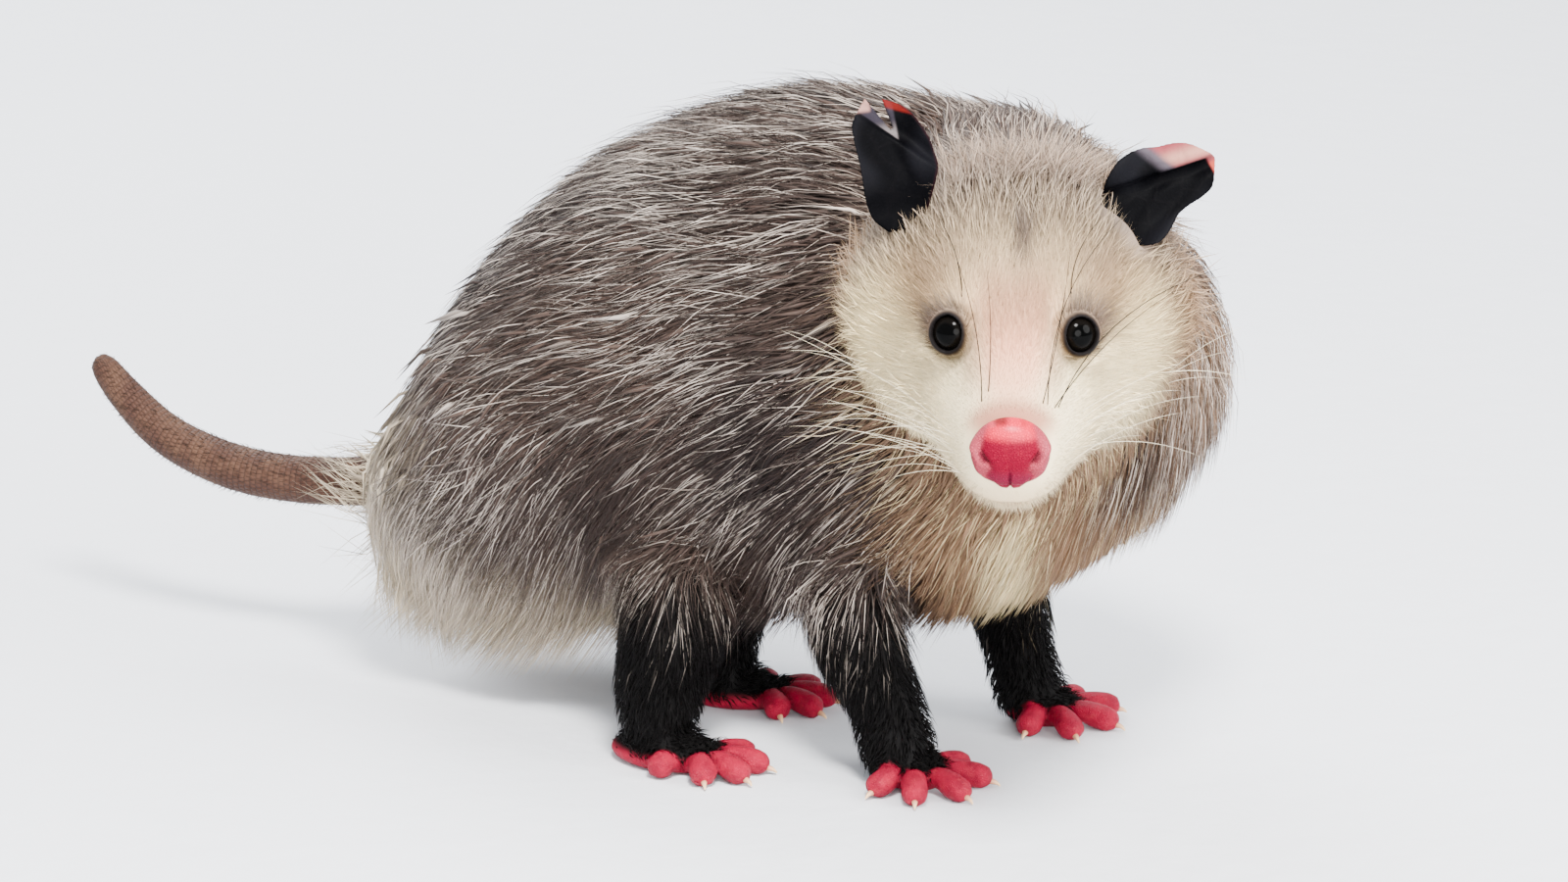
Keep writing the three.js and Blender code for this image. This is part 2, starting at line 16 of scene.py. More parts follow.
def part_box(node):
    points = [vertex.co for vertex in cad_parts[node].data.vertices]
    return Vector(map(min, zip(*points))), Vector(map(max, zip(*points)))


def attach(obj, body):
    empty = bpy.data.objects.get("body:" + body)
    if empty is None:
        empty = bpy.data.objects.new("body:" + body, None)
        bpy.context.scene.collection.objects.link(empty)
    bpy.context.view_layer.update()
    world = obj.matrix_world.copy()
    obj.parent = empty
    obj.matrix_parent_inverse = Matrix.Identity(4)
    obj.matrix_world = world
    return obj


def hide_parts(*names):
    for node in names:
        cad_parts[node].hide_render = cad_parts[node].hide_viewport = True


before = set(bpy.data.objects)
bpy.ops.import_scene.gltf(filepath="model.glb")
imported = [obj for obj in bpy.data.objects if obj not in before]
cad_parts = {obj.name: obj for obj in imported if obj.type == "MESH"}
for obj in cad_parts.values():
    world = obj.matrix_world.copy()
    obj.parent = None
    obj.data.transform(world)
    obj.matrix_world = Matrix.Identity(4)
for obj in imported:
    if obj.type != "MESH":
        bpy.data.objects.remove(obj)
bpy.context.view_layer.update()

UP = np.array([0.0, 0.0, 1.0])
FORWARD = np.array([0.0, -1.0, 0.0])


def unit(v):
    v = np.asarray(v, float)
    return v / np.maximum(np.linalg.norm(v, axis=-1, keepdims=True), 1e-9)


def dot(a, b):
    return (np.asarray(a) * np.asarray(b)).sum(-1)


def smooth(value, low, high):
    """0 below low, 1 above high, and an even rise between them."""
    x = np.clip((np.asarray(value, float) - low) / (high - low), 0, 1)
    return x * x * (3 - 2 * x)


def mix(a, b, share):
    """Part one value, point or colour, part another."""
    a, b, share = (np.asarray(v, float) for v in (a, b, share))
    if share.ndim and 3 in (*a.shape[-1:], *b.shape[-1:]):
        share = share[..., None]
    return a * (1 - share) + b * share


def turned(v, axis, degrees):
    return np.array(Matrix.Rotation(math.radians(degrees), 3, Vector(axis)) @ Vector(v))


def rgb(red, green, blue):
    """A colour as the eye names it, 0 to 255, in the linear light that shaders work in."""
    c = np.array([red, green, blue]) / 255
    return np.where(c < 0.04045, c / 12.92, ((c + 0.055) / 1.055) ** 2.4)


# Head frame

NOSE_TIP = np.array([-141.0, -87.0, 138.0])
HEAD_TURN = 68
HEAD_DROP = 13
EYE = {"behind": 52, "side": 17.6, "over": 13.6, "radius": 6.7}
LID = {"wide": 5.0, "high": 5.6}

AHEAD = turned(turned(FORWARD, (1, 0, 0), HEAD_DROP), (0, 0, 1), -HEAD_TURN)
HEAD_OVER = unit(np.cross(AHEAD, unit(np.cross(UP, AHEAD))))
HEAD_SIDE = unit(np.cross(HEAD_OVER, AHEAD))


def head_point(behind, side, over):
    """A point by its distance behind the nose tip, to the left side and over the axis."""
    if np.isscalar(behind):
        spot = np.array([-behind, side, over])
    else:
        spot = np.stack([-np.asarray(behind, float), side, over], -1)
    return NOSE_TIP + spot @ np.array([AHEAD, HEAD_SIDE, HEAD_OVER])


def in_head(points):
    """The same three distances of each point."""
    away = np.asarray(points) - NOSE_TIP
    return -dot(away, AHEAD), dot(away, HEAD_SIDE), dot(away, HEAD_OVER)


def head_way(forward, side, over):
    """A direction by its parts along the head's own axes."""
    return unit(forward * AHEAD + side * HEAD_SIDE + over * HEAD_OVER)


def gaze(hand):
    """Which way the left eye looks, where hand is 1, or the right one, where it is -1."""
    return head_way(0.85, hand * 0.34, 0.33)


def eye_centre(hand):
    return head_point(EYE["behind"], hand * EYE["side"], EYE["over"])


def eye_place(points, hand):
    """Each point across, up and out from an eyeball, and how far off its opening it is."""
    out = gaze(hand)
    across = unit(np.cross(HEAD_OVER, out))
    away = points - eye_centre(hand)
    x, y, z = dot(away, across), dot(away, np.cross(out, across)), dot(away, out)
    return x, y, z, np.hypot(x / LID["wide"], y / LID["high"])


# The frame's own place of the left eye tells where this script's frame lies in it.
lowest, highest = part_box("eye_left")
SHIFT = (np.array(lowest) + np.array(highest)) / 2 * 1000 - eye_centre(1)


def place(points):
    """Millimetres of this script as metres of the frame."""
    return (np.asarray(points, float) + SHIFT) / 1000


# Forms

def spline(knots, t):
    """A smooth path through knots, evenly shared out between them."""
    ends = [2 * knots[0] - knots[1]], [2 * knots[-1] - knots[-2]]
    p = np.vstack([ends[0], knots, ends[1]])
    spans = len(knots) - 1
    x = np.clip(t, 0, 1) * spans
    i = np.minimum(x.astype(int), spans - 1)
    w = (x - i)[:, None]
    a, b, c, d = p[i], p[i + 1], p[i + 2], p[i + 3]
    return (
        (2 * w ** 3 - 3 * w ** 2 + 1) * b + (w ** 3 - 2 * w ** 2 + w) * (c - a) / 2
        + (3 * w ** 2 - 2 * w ** 3) * c + (w ** 3 - w ** 2) * (d - b) / 2
    )


class Form:
    """A rounded body along a path. A station is x, y, z and half sizes: side, over, under, of
    which the last ones may be left out where they are the same."""

    def __init__(self, stations, over, ends, drape=0.0):
        rows = np.array([(*s, *[s[-1]] * (6 - len(s))) for s in stations], float)
        self.path, self.sizes = rows[:, :3], rows[:, 3:]
        self.over, self.ends, self.drape = over, ends, drape

    def along(self, t):
        return unit(spline(self.path, t + 1e-3) - spline(self.path, np.maximum(t - 1e-3, 0)))

    def point(self, t, angle, height):
        along = self.along(np.minimum(t, 0.999))
        across = unit(np.cross(self.over, along))
        over = np.cross(along, across)
        size = spline(self.sizes, t)
        rise, turn = np.sin(angle), np.cos(angle)
        reach = np.sign(turn) * np.abs(turn) ** (1 - self.drape * np.maximum(0, -rise))
        start = np.maximum(0, 1 - t / self.ends[0])
        end = np.maximum(0, 1 - (1 - t) / self.ends[1])
        radial = np.sqrt(1 - np.minimum(1, start + end) ** 2)
        deep = np.where(rise > 0, size[:, 1], size[:, 2]) + height
        wide = size[:, 0] + height
        return (
            spline(self.path, t)
            + across * (reach * radial * wide)[:, None]
            + over * (rise * radial * deep)[:, None]
            + along * (height * (end - start))[:, None]
        )


def head_form(rows, ends):
    """A form on the head's own axis, whose rows start with a distance behind the nose tip."""
    return Form([(*head_point(b, 0, 0), *sizes) for b, *sizes in rows], HEAD_OVER, ends)


HEAD = head_form([
    (3, 9, 7, 14), (7, 11.4, 9, 20.5), (12, 13.4, 10.4, 22.6), (19, 15.2, 12, 23.4),
    (29, 18.4, 15, 24), (40, 23, 19.8, 25), (50, 28, 25, 27), (60, 37, 31, 30),
    (72, 48, 38, 34), (86, 52, 43, 35), (99, 47, 43, 33), (111, 36, 36, 26), (121, 20, 23, 18),
], (0.06, 0.2))
NOSE = head_form([
    (-2.5, 9, 7, 7.5), (1, 10.8, 9.2, 9.6), (5, 11.4, 10.6, 10.4), (9.5, 10.5, 10.2, 9.8),
], (0.45, 0.3))
NECK = Form([
    (6, -6, 122, 49, 75, 60), (-4, -24, 132, 51, 77, 58), (-22, -39, 144, 51, 69, 54),
    (-40, -49, 154, 49, 57, 48), (-55, -56, 160, 44, 43, 42),
], UP, (0.12, 0.3))
TORSO = Form([
    (-4, 193, 59, 22, 10, 22), (-4, 178, 67, 42, 18, 36), (-2, 156, 78, 56, 34, 48),
    (1, 131, 92, 66, 52, 60), (4, 102, 106, 72, 66, 70), (5, 72, 117, 74, 76, 74),
    (6, 40, 124, 73, 81, 78), (6, 10, 127, 69, 79, 78), (8, -18, 125, 65, 75, 76),
    (10, -44, 118, 58, 62, 70), (13, -69, 107, 49, 49, 58), (13, -87, 99, 39, 36, 42),
], UP, (0.14, 0.16), 0.7)
TAIL = Form([
    (-4, 146, 72, 12), (-4, 172, 65, 10), (-5, 196, 60.5, 8.4), (-5, 222, 58, 8),
    (-5, 246, 59.5, 7.8), (-5, 269, 67, 7.1), (-4, 286, 79.5, 6), (-4, 296, 91, 4.4),
], UP, (0.05, 0.05))
LEGS = {
    "foreleg_right": [(-26, 14, 98, 13), (-31, 15, 72, 14.5), (-40, 7, 44, 14.5),
                      (-43, -4, 24, 12.5), (-44, -9, 10, 12.5), (-44, -12, 5, 12)],
    "foreleg_left": [(20, 2, 98, 13), (26, -2, 72, 14.5), (30, -12, 44, 13.5),
                     (30, -17, 24, 11.8), (30, -21, 10, 12), (30, -23, 5, 12)],
    "hindleg_right": [(-28, 88, 92, 15), (-36, 74, 68, 16.5), (-49, 65, 43, 17),
                      (-56, 66, 23, 14.5), (-58, 64, 10, 12.5), (-58.5, 56, 7.5, 11)],
    "hindleg_left": [(24, 92, 92, 15), (21, 80, 68, 16.5), (12, 74, 43, 16.5),
                     (7, 76, 23, 14), (6, 74, 10, 12.5), (6.5, 65, 7.5, 11)],
}
# A toe: how far it is splayed, its length, where it starts ahead of the palm's middle, and
# whether it bears a claw, which the thumb of a hind foot doesn't.
FORE = {"palm": (10, 12), "toes": [
    (-86, 20, 1, True), (-44, 24, 1, True), (-2, 25, 1, True), (38, 24, 1, True),
    (80, 20, 1, True)]}
HIND = {"palm": (12, 20), "toes": [
    (-54, 19, 11, True), (-19, 23, 11, True), (15, 23, 11, True), (50, 20, 11, True),
    (88, 17, 6, False)]}
FEET = {
    "forefoot_right": {"at": (-44, -14), "point": -28, "hand": -1, **FORE},
    "forefoot_left": {"at": (30, -26), "point": 0, "hand": 1, **FORE},
    "hindfoot_right": {"at": (-58, 63), "point": -8, "hand": -1, **HIND},
    "hindfoot_left": {"at": (6, 71), "point": 4, "hand": 1, **HIND},
}
TOE_RADIUS = 4
PALM_HIGH = 9
SOLE_SINK = 0.8

# How deep the skin lies under the forms of the trunk, the legs and the tail, and how far out
# it lies over those of the toes.
COAT_DEPTH = 11
LEG_FUR_DEPTH = 2.4
TAIL_SINK = 0.2
TOE_SWELL = 0.2
# The swellings and hollows of the face: place, reach and push outwards.
FACE_MARKS = [
    ((20, 11, -4), 9, 1.4), ((45, 18, 9), 8, -3.0), ((58, 21, 23), 9, 1.6),
    ((30, 14, 8), 9, -1.3), ((66, 33, -16), 16, 2.5),
]


def shape_face(points):
    """Work the swellings and hollows into both sides of the face."""
    moved = points.copy()
    for (behind, side, over), reach, push in FACE_MARKS:
        for hand in (1, -1):
            centre = head_point(behind, hand * side, over)
            away = unit(centre - head_point(behind + 6, 0, 0))
            share = np.exp(-((points - centre) ** 2).sum(1) / reach ** 2)
            moved += push * share[:, None] * away
    return moved


def head_depth(t):
    """How deep the skin of the face lies under the tips of its fur."""
    return -(0.4 + 2.2 * smooth(t, 0.25, 0.7))


# Meshes

def ball(bm, shape, sides, rings):
    """Add a sphere whose points a function carries to their places, and give both sets."""
    part = bmesh.new()
    made = bmesh.ops.create_uvsphere(part, u_segments=sides, v_segments=rings, radius=1)["verts"]
    sphere = np.array([v.co for v in made])
    points = shape(sphere)
    for v, p in zip(made, place(points)):
        v.co = p
    mesh = bpy.data.meshes.new("part")
    part.to_mesh(mesh)
    part.free()
    bm.from_mesh(mesh)
    bpy.data.meshes.remove(mesh)
    return sphere, points


def round_form(form, height, shape=lambda p: p):
    """The function that carries a unit sphere onto a form."""
    def carry(p):
        t = (1 - p[:, 2]) / 2
        h = height(t) if callable(height) else height
        return shape(form.point(t, np.arctan2(p[:, 1], p[:, 0]), h))
    return carry


def finished(bm, name, *materials):
    """The bmesh as an object of its own, smooth and facing outwards."""
    bmesh.ops.recalc_face_normals(bm, faces=bm.faces)
    mesh = bpy.data.meshes.new(name)
    bm.to_mesh(mesh)
    bm.free()
    obj = bpy.data.objects.new(name, mesh)
    bpy.context.scene.collection.objects.link(obj)
    for material in materials:
        mesh.materials.append(material)
    mesh.polygons.foreach_set("use_smooth", [True] * len(mesh.polygons))
    return obj


def with_modifier(obj, kind, **settings):
    """Replace an object's mesh by what one modifier makes of it."""
    modifier = obj.modifiers.new(kind.title(), kind)
    for key, value in settings.items():
        setattr(modifier, key, value)
    depsgraph = bpy.context.evaluated_depsgraph_get()
    result = bpy.data.meshes.new_from_object(obj.evaluated_get(depsgraph))
    obj.modifiers.clear()
    old, obj.data = obj.data, result
    result.name = obj.name
    bpy.data.meshes.remove(old)


def per_point(obj, key):
    """The place or the normal of each of the mesh's points, as the frame has it."""
    flat = np.empty(len(obj.data.vertices) * 3)
    obj.data.vertices.foreach_get(key, flat)
    return flat.reshape(-1, 3)


def points_of(obj):
    """The mesh's points in this script's millimetres."""
    return per_point(obj, "co") * 1000 - SHIFT


def set_points(obj, points):
    obj.data.vertices.foreach_set("co", place(points).ravel())
    obj.data.update()


def set_attribute(mesh, name, values):
    """Keep a number or a colour for each point, which a finish then reads."""
    if np.ndim(values) == 1:
        layer = mesh.attributes.new(name, "FLOAT", "POINT")
        layer.data.foreach_set("value", np.ascontiguousarray(values, np.float32))
    else:
        full = np.ones((len(values), 4), np.float32)
        full[:, :3] = values
        layer = mesh.attributes.new(name, "FLOAT_COLOR", "POINT")
        layer.data.foreach_set("color", full.ravel())


def nearest(points, others):
    """The number of the point that is nearest to each of the others."""
    tree = KDTree(len(points))
    for i, p in enumerate(points.tolist()):
        tree.insert(p, i)
    tree.balance()
    return np.array([tree.find(p)[1] for p in others.tolist()])


# Finishes

class Wire:
    """A node's output that can be added, multiplied and so on."""

    def __init__(self, finish, socket):
        self.finish, self.socket = finish, socket

    def sum(self, operation, *values):
        return self.finish.node("ShaderNodeMath", *values, operation=operation)

    def __add__(self, other):
        return self.sum("ADD", self, other)

    def __sub__(self, other):
        return self.sum("SUBTRACT", self, other)

    def __rsub__(self, other):
        return self.sum("SUBTRACT", other, self)

    def __mul__(self, other):
        return self.sum("MULTIPLY", self, other)

    def __pow__(self, other):
        return self.sum("POWER", self, other)

    __radd__ = __add__
    __rmul__ = __mul__

    def fraction(self):
        return self.sum("FRACT", self)

    def floor(self):
        return self.sum("FLOOR", self)

    def between(self, low, high):
        """A smooth rise from 0 at low to 1 at high."""
        return self.finish.node(
            "ShaderNodeMapRange", self, low, high, interpolation_type="SMOOTHSTEP")


class Finish:
    """A procedural material under construction."""

    def __init__(self, name, **fixed):
        self.material = bpy.data.materials.new(name)
        self.material.use_nodes = True
        self.tree = self.material.node_tree
        self.tree.nodes.clear()
        self.surface = self.tree.nodes.new("ShaderNodeBsdfPrincipled")
        self.wear(**fixed)
        output = self.tree.nodes.new("ShaderNodeOutputMaterial")
        self.tree.links.new(self.surface.outputs[0], output.inputs[0])

    def node(self, kind, *values, take=0, sockets=None, **settings):
        """Add a node: its settings first, then the values or wires of its inputs."""
        made = self.tree.nodes.new(kind)
        for key, value in settings.items():
            setattr(made, key, value)
        for key, value in [*enumerate(values), *(sockets or {}).items()]:
            if value is not None:
                self.join(value, made.inputs[key])
        return Wire(self, made.outputs[take])

    def join(self, value, socket):
        if isinstance(value, Wire):
            self.tree.links.new(value.socket, socket)
        elif socket.type == "RGBA":
            socket.default_value = (*value, 1)
        else:
            socket.default_value = value

    def attribute(self, name, take="Fac"):
        return self.node("ShaderNodeAttribute", attribute_name=name, take=take)

    def blend(self, share, first, second, blend_type="MIX"):
        """One colour over another, by a share or a mask."""
        return self.node(
            "ShaderNodeMix", data_type="RGBA", blend_type=blend_type, take=2,
            sockets={0: share, 6: first, 7: second})

    def spots(self, scale, detail):
        """Cloudy noise, with so many features in a metre."""
        return self.node(
            "ShaderNodeTexNoise", sockets={"Vector": self.here(), "Scale": scale, "Detail": detail})

    def cells(self, scale):
        """How far inside its cell each point is, with so many cells in a metre."""
        return self.node(
            "ShaderNodeTexVoronoi", sockets={"Vector": self.here(), "Scale": scale},
            feature="DISTANCE_TO_EDGE")

    def here(self):
        return self.node("ShaderNodeTexCoord", take="Object")

    def relief(self, height, distance):
        """Bump of so many metres."""
        return self.node(
            "ShaderNodeBump", sockets={"Strength": 1.0, "Distance": distance, "Height": height})

    def wear(self, **inputs):
        """Give the surface its values and wires, each named for its socket."""
        for key, value in inputs.items():
            socket = key.replace("_", " ").title().replace("Ior", "IOR")
            self.join(value, self.surface.inputs[socket])
        return self.material


def hair_finish(name, roughness, variety, gloss=0.12):
    """Hair: its own tint, darker towards the root, varied from tuft to tuft."""
    finish = Finish(name, specular_ior_level=gloss)
    tint = finish.attribute("tint", "Color")
    along = finish.attribute("along")
    shade = finish.attribute("shade")
    light = (along.between(-0.2, 0.6) * 0.45 + 0.55) * (1 - variety / 2 + shade * variety)
    colour = finish.blend(1.0, tint, finish.node(
        "ShaderNodeCombineColor", light, light, light), "MULTIPLY")
    return finish.wear(Base_Color=colour, Roughness=shade * 0.12 + (roughness - 0.06))


def skin_finish():
    """Skin: tinted as the coat over it, bare and creased on the feet, scaly on the tail.
    A scale's row and its place in the row come from the skin's own attributes."""
    finish = Finish("skin_under_fur", specular_ior_level=0.1)
    tint = finish.attribute("tint", "Color")
    bare = finish.attribute("bare")
    scaly = finish.attribute("scaly")
    blood = finish.blend(
        finish.spots(260, 3).between(0.35, 0.7) * bare * 0.4, tint, rgb(70, 8, 24))
    mottled = finish.blend(
        finish.spots(500, 2).between(0.5, 0.8) * bare * 0.45, blood, rgb(160, 44, 56))
    row = finish.attribute("tail_rows")
    column = finish.attribute("tail_columns")
    edge = row.fraction()
    side = (column + row.floor() * 0.5).fraction()
    plate = (edge * (1 - edge) * 4) ** 0.5 * ((side * (1 - side) * 4) ** 0.35)
    plated = finish.blend(scaly * (1 - plate) * 0.75, mottled, rgb(38, 27, 22))
    patchy = finish.blend(
        scaly * finish.spots(120, 4).between(0.35, 0.75) * 0.35, plated, rgb(100, 74, 56))
    creases = finish.cells(1500).between(0.0, 0.25)
    folds = finish.spots(420, 4)
    height = scaly * plate * 0.55 + bare * (creases * 0.3 + folds * 0.5)
    return finish.wear(
        Base_Color=patchy,
        Roughness=0.72 - bare * 0.24 - scaly * 0.12,
        Normal=finish.relief(height, 0.0007),
    )


def nose_finish():
    """Moist, pebbled nose skin over its own tint, wettest on the pad's top and the wings."""
    finish = Finish("moist_nose_skin", coat_roughness=0.38, specular_ior_level=0.02)
    tint = finish.attribute("tint", "Color")
    wet = finish.attribute("wet")
    pebbles = finish.cells(1250).between(0.0, 0.3)
    colour = finish.blend((1 - pebbles) * 0.35, tint, rgb(70, 0, 20))
    blush = finish.spots(300, 3).between(0.5, 0.8) * 0.12
    return finish.wear(
        Base_Color=finish.blend(blush, colour, rgb(150, 24, 44)),
        Roughness=pebbles * -0.1 + 0.46,
        Coat_Weight=(finish.spots(500, 2).between(0.2, 0.7) * 0.12 + 0.2) * wet + 0.02,
        Normal=finish.relief(pebbles + finish.spots(500, 2) * 0.6, 0.0002),
    )


def ear_finish():
    """Thin ear skin with fine veins over its own tint."""
    finish = Finish("ear_skin", specular_ior_level=0.015)
    tint = finish.attribute("tint", "Color")
    veins = finish.cells(150).between(0.0, 0.12)
    grain = finish.spots(1400, 3)
    colour = finish.blend((1 - veins) * 0.12, tint, rgb(10, 8, 9))
    return finish.wear(
        Base_Color=finish.blend(grain.between(0.5, 0.8) * 0.12, colour, rgb(20, 20, 23)),
        Roughness=grain * 0.25 + 0.4,
        Normal=finish.relief((1 - veins) * 0.12 + grain * 0.3, 0.0002),
    )


def eye_finish():
    """A dark eye: near black, a faint brown ring round the pupil, wet and clear."""
    finish = Finish("dark_wet_eye", specular_ior_level=0.035)
    ring = finish.attribute("ring")
    fleck = finish.spots(2600, 2)
    brown = finish.blend(fleck, rgb(3, 3, 3), rgb(10, 7, 5))
    return finish.wear(
        Base_Color=finish.blend(ring, rgb(1, 1, 1), brown),
        Roughness=ring * 0.05 + 0.05,
    )


def claw_finish():
    """Horn: translucent cream, darker at its root, with fine lengthwise streaks."""
    finish = Finish("claw_horn", specular_ior_level=0.5)
    along = finish.attribute("along")
    streak = finish.spots(2200, 2)
    colour = finish.blend(along.between(0.0, 0.9), rgb(150, 60, 50), rgb(214, 176, 130))
    return finish.wear(
        Base_Color=finish.blend(streak.between(0.4, 0.8) * 0.35, colour, rgb(130, 100, 84)),
        Roughness=streak * 0.2 + 0.28,
        Normal=finish.relief(streak, 0.0001),
    )


def floor_finish():
    """Plain pale board, with the faintest clouds."""
    finish = Finish("pale_floor", roughness=0.85)
    soft = finish.spots(2.5, 2)
    return finish.wear(
        Base_Color=finish.blend(soft * 0.3, rgb(212, 214, 219), rgb(203, 206, 212)),
        Normal=finish.relief(finish.spots(60, 3), 0.0008),
    )


# Camera, light and floor

# Degrees and millimetres, but how far the camera sees is in metres.
TARGET = np.array([-41.9, 30.6, 103.5])
AZIMUTH, ELEVATION, DISTANCE = -65, 16, 2200
LENS, SENSOR, SIGHT = 165, 36, 50
# A softbox: its place, its width in metres, its power in watts and its colour.
SOFTBOXES = {
    "softbox_above": ((-900, -500, 1500), 0.45, 105, (1.0, 0.98, 0.96)),
    "softbox_front": ((-1700, -1300, 600), 1.2, 66, (1.0, 0.98, 0.97)),
    "softbox_behind": ((900, 1100, 1300), 1.3, 56, (0.96, 0.98, 1.0)),
    "softbox_side": ((-100, -1700, 900), 1.2, 62, (1.0, 0.99, 0.98)),
}
LIT_SPOT = (-40, 20, 90)
SKY = (0.93, 0.96, 1.0, 1)
SKY_STRENGTH = 1.8


def aim(obj, eye, target):
    """Stand a camera or lamp at one place and turn it to another."""
    here, there = Vector(place(eye)), Vector(place(target))
    turn = (here - there).to_track_quat("Z", "Y").to_matrix().to_4x4()
    obj.matrix_world = Matrix.Translation(here) @ turn


def set_stage():
    """The camera, the pale floor, four softboxes and a pale sky."""
    scene = bpy.context.scene
    lens = bpy.data.cameras.new("camera")
    lens.lens = LENS
    lens.sensor_width = SENSOR
    lens.clip_end = SIGHT
    camera = bpy.data.objects.new("camera", lens)
    scene.collection.objects.link(camera)
    a, e = math.radians(AZIMUTH), math.radians(ELEVATION)
    away = np.array([math.sin(a) * math.cos(e), -math.cos(a) * math.cos(e), math.sin(e)])
    aim(camera, TARGET + DISTANCE * away, TARGET)
    scene.camera = camera

    bm = bmesh.new()
    bmesh.ops.create_grid(bm, x_segments=8, y_segments=8, size=9)
    floor = finished(bm, "floor", floor_finish())

    for name, (eye, size, power, colour) in SOFTBOXES.items():
        lamp = bpy.data.lights.new(name, "AREA")
        lamp.shape = "DISK"
        lamp.size = size
        lamp.energy = power
        lamp.color = colour
        light = bpy.data.objects.new(name, lamp)
        scene.collection.objects.link(light)
        aim(light, eye, LIT_SPOT)
    world = bpy.data.worlds.new("studio")
    world.use_nodes = True
    background = world.node_tree.nodes["Background"]
    background.inputs["Color"].default_value = SKY
    background.inputs["Strength"].default_value = SKY_STRENGTH
    scene.world = world


# Skin

SKIN_VOXEL = 0.0015
CHARTS = 8
PARTS = BODY, RUFF, FACE, LIMB, PALM, TOE, BARE_TAIL = range(7)


def toe_forms(foot):
    """The toes of a foot as forms, with where each claw sits, if there is one, and points."""
    shape = FEET[foot]
    base = np.array([*shape["at"], 0.0])
    facing = turned(FORWARD, UP, shape["point"])
    forms = []
    for splay, length, reach, clawed in shape["toes"]:
        out = turned(FORWARD, UP, shape["point"] + shape["hand"] * splay)
        start = base + facing * reach
        rows = [(2, 5.0, 0.8), (length * 0.3, 5.6, 0.74), (length * 0.5, 6.0, 0.86),
                (length * 0.7, 5.2, 1.0), (length * 0.88, 4.2, 0.98), (length, 3.4, 0.78)]
        forms.append((
            Form([(*(start + out * far)[:2], z, TOE_RADIUS * w, TOE_RADIUS * w * 0.96)
                  for far, z, w in rows], UP, (0.2, 0.2)),
            start + out * length + UP * 3.1 if clawed else None, out))
    return forms


def press(points):
    """Feet sink a little, so their pads are flat on the floor."""
    points = points - UP * SOLE_SINK
    points[:, 2] = np.maximum(points[:, 2], 0)
    return points


def foot_axes(shape):
    """Where a foot points, and what lies to its left."""
    return [turned(v, UP, shape["point"]) for v in (FORWARD, (1.0, 0, 0))]


def palm(foot):
    """The function that carries a unit sphere onto the palm and sole of a foot."""
    shape = FEET[foot]
    facing, beside = foot_axes(shape)
    wide, long = shape["palm"]
    centre = np.array([*shape["at"], PALM_HIGH / 2])
    return lambda p: press(
        centre + p @ np.array([beside * wide, facing * long, UP * (PALM_HIGH / 2 + 1)]))


def make_skin():
    """One closed skin over the flesh of the whole animal. For each of its points it also gives
    what part of the body it covers, its place along and round that part, and a chart's number."""
    bm = bmesh.new()
    spots, labels, unwraps = [], [], []

    def add(label, shape, sides, rings):
        sphere, points = ball(bm, shape, sides, rings)
        spots.append(points)
        labels.append(np.full(len(points), label))
        chart = len(labels) % CHARTS
        unwraps.append(np.stack([
            (1 - sphere[:, 2]) / 2, np.arctan2(sphere[:, 1], sphere[:, 0]) / math.tau % 1,
            np.full(len(points), chart)], 1))

    add(BODY, round_form(TORSO, -COAT_DEPTH), 64, 56)
    add(RUFF, round_form(NECK, -COAT_DEPTH), 56, 40)
    add(FACE, round_form(HEAD, head_depth, shape_face), 80, 72)
    add(BARE_TAIL, round_form(TAIL, -TAIL_SINK), 32, 96)
    for stations in LEGS.values():
        add(LIMB, round_form(Form(stations, FORWARD, (0.2, 0.06)), -LEG_FUR_DEPTH), 32, 40)
    for foot in FEET:
        add(PALM, palm(foot), 24, 16)
        for form, _, _ in toe_forms(foot):
            add(TOE, round_form(form, TOE_SWELL, press), 20, 24)
    skin = finished(bm, "skin")
    with_modifier(skin, "REMESH", mode="VOXEL", voxel_size=SKIN_VOXEL, use_smooth_shade=True)
    refine(skin)
    points = points_of(skin)
    near = nearest(np.vstack(spots), points)
    return skin, furred_insteps(points, np.concatenate(labels)[near]), np.vstack(unwraps)[near]


def toe_gaps(points):
    """How near each point is to the cleft between two toes, from 0 to 1."""
    gaps = np.zeros(len(points))
    for foot, shape in FEET.items():
        near = np.nonzero(np.hypot(*(points[:, :2] - shape["at"]).T) < 45)[0]
        p = points[near][:, :2]
        away = []
        for form, _, _ in toe_forms(foot):
            start, end = form.path[1, :2], form.path[-1, :2]
            t = np.clip(dot(p - start, end - start) / dot(end - start, end - start), 0, 1)
            away.append(np.linalg.norm(p - start - t[:, None] * (end - start), axis=1))
        first, second = np.sort(away, axis=0)[:2]
        gaps[near] = np.exp(-((second - first) / 1.1) ** 2) * (points[near, 2] < 13)
    return gaps


def furred_insteps(points, label):
    """The instep is furred down to where the toes part, so their roots count as palm."""
    for shape in FEET.values():
        away = points - np.array([*shape["at"], 0])
        facing, beside = foot_axes(shape)
        wide, long = shape["palm"]
        inner = np.hypot(dot(away, beside) / wide, dot(away, facing) / long) < 0.96
        label[(label == TOE) & inner & (points[:, 2] > 3)] = PALM
    return label


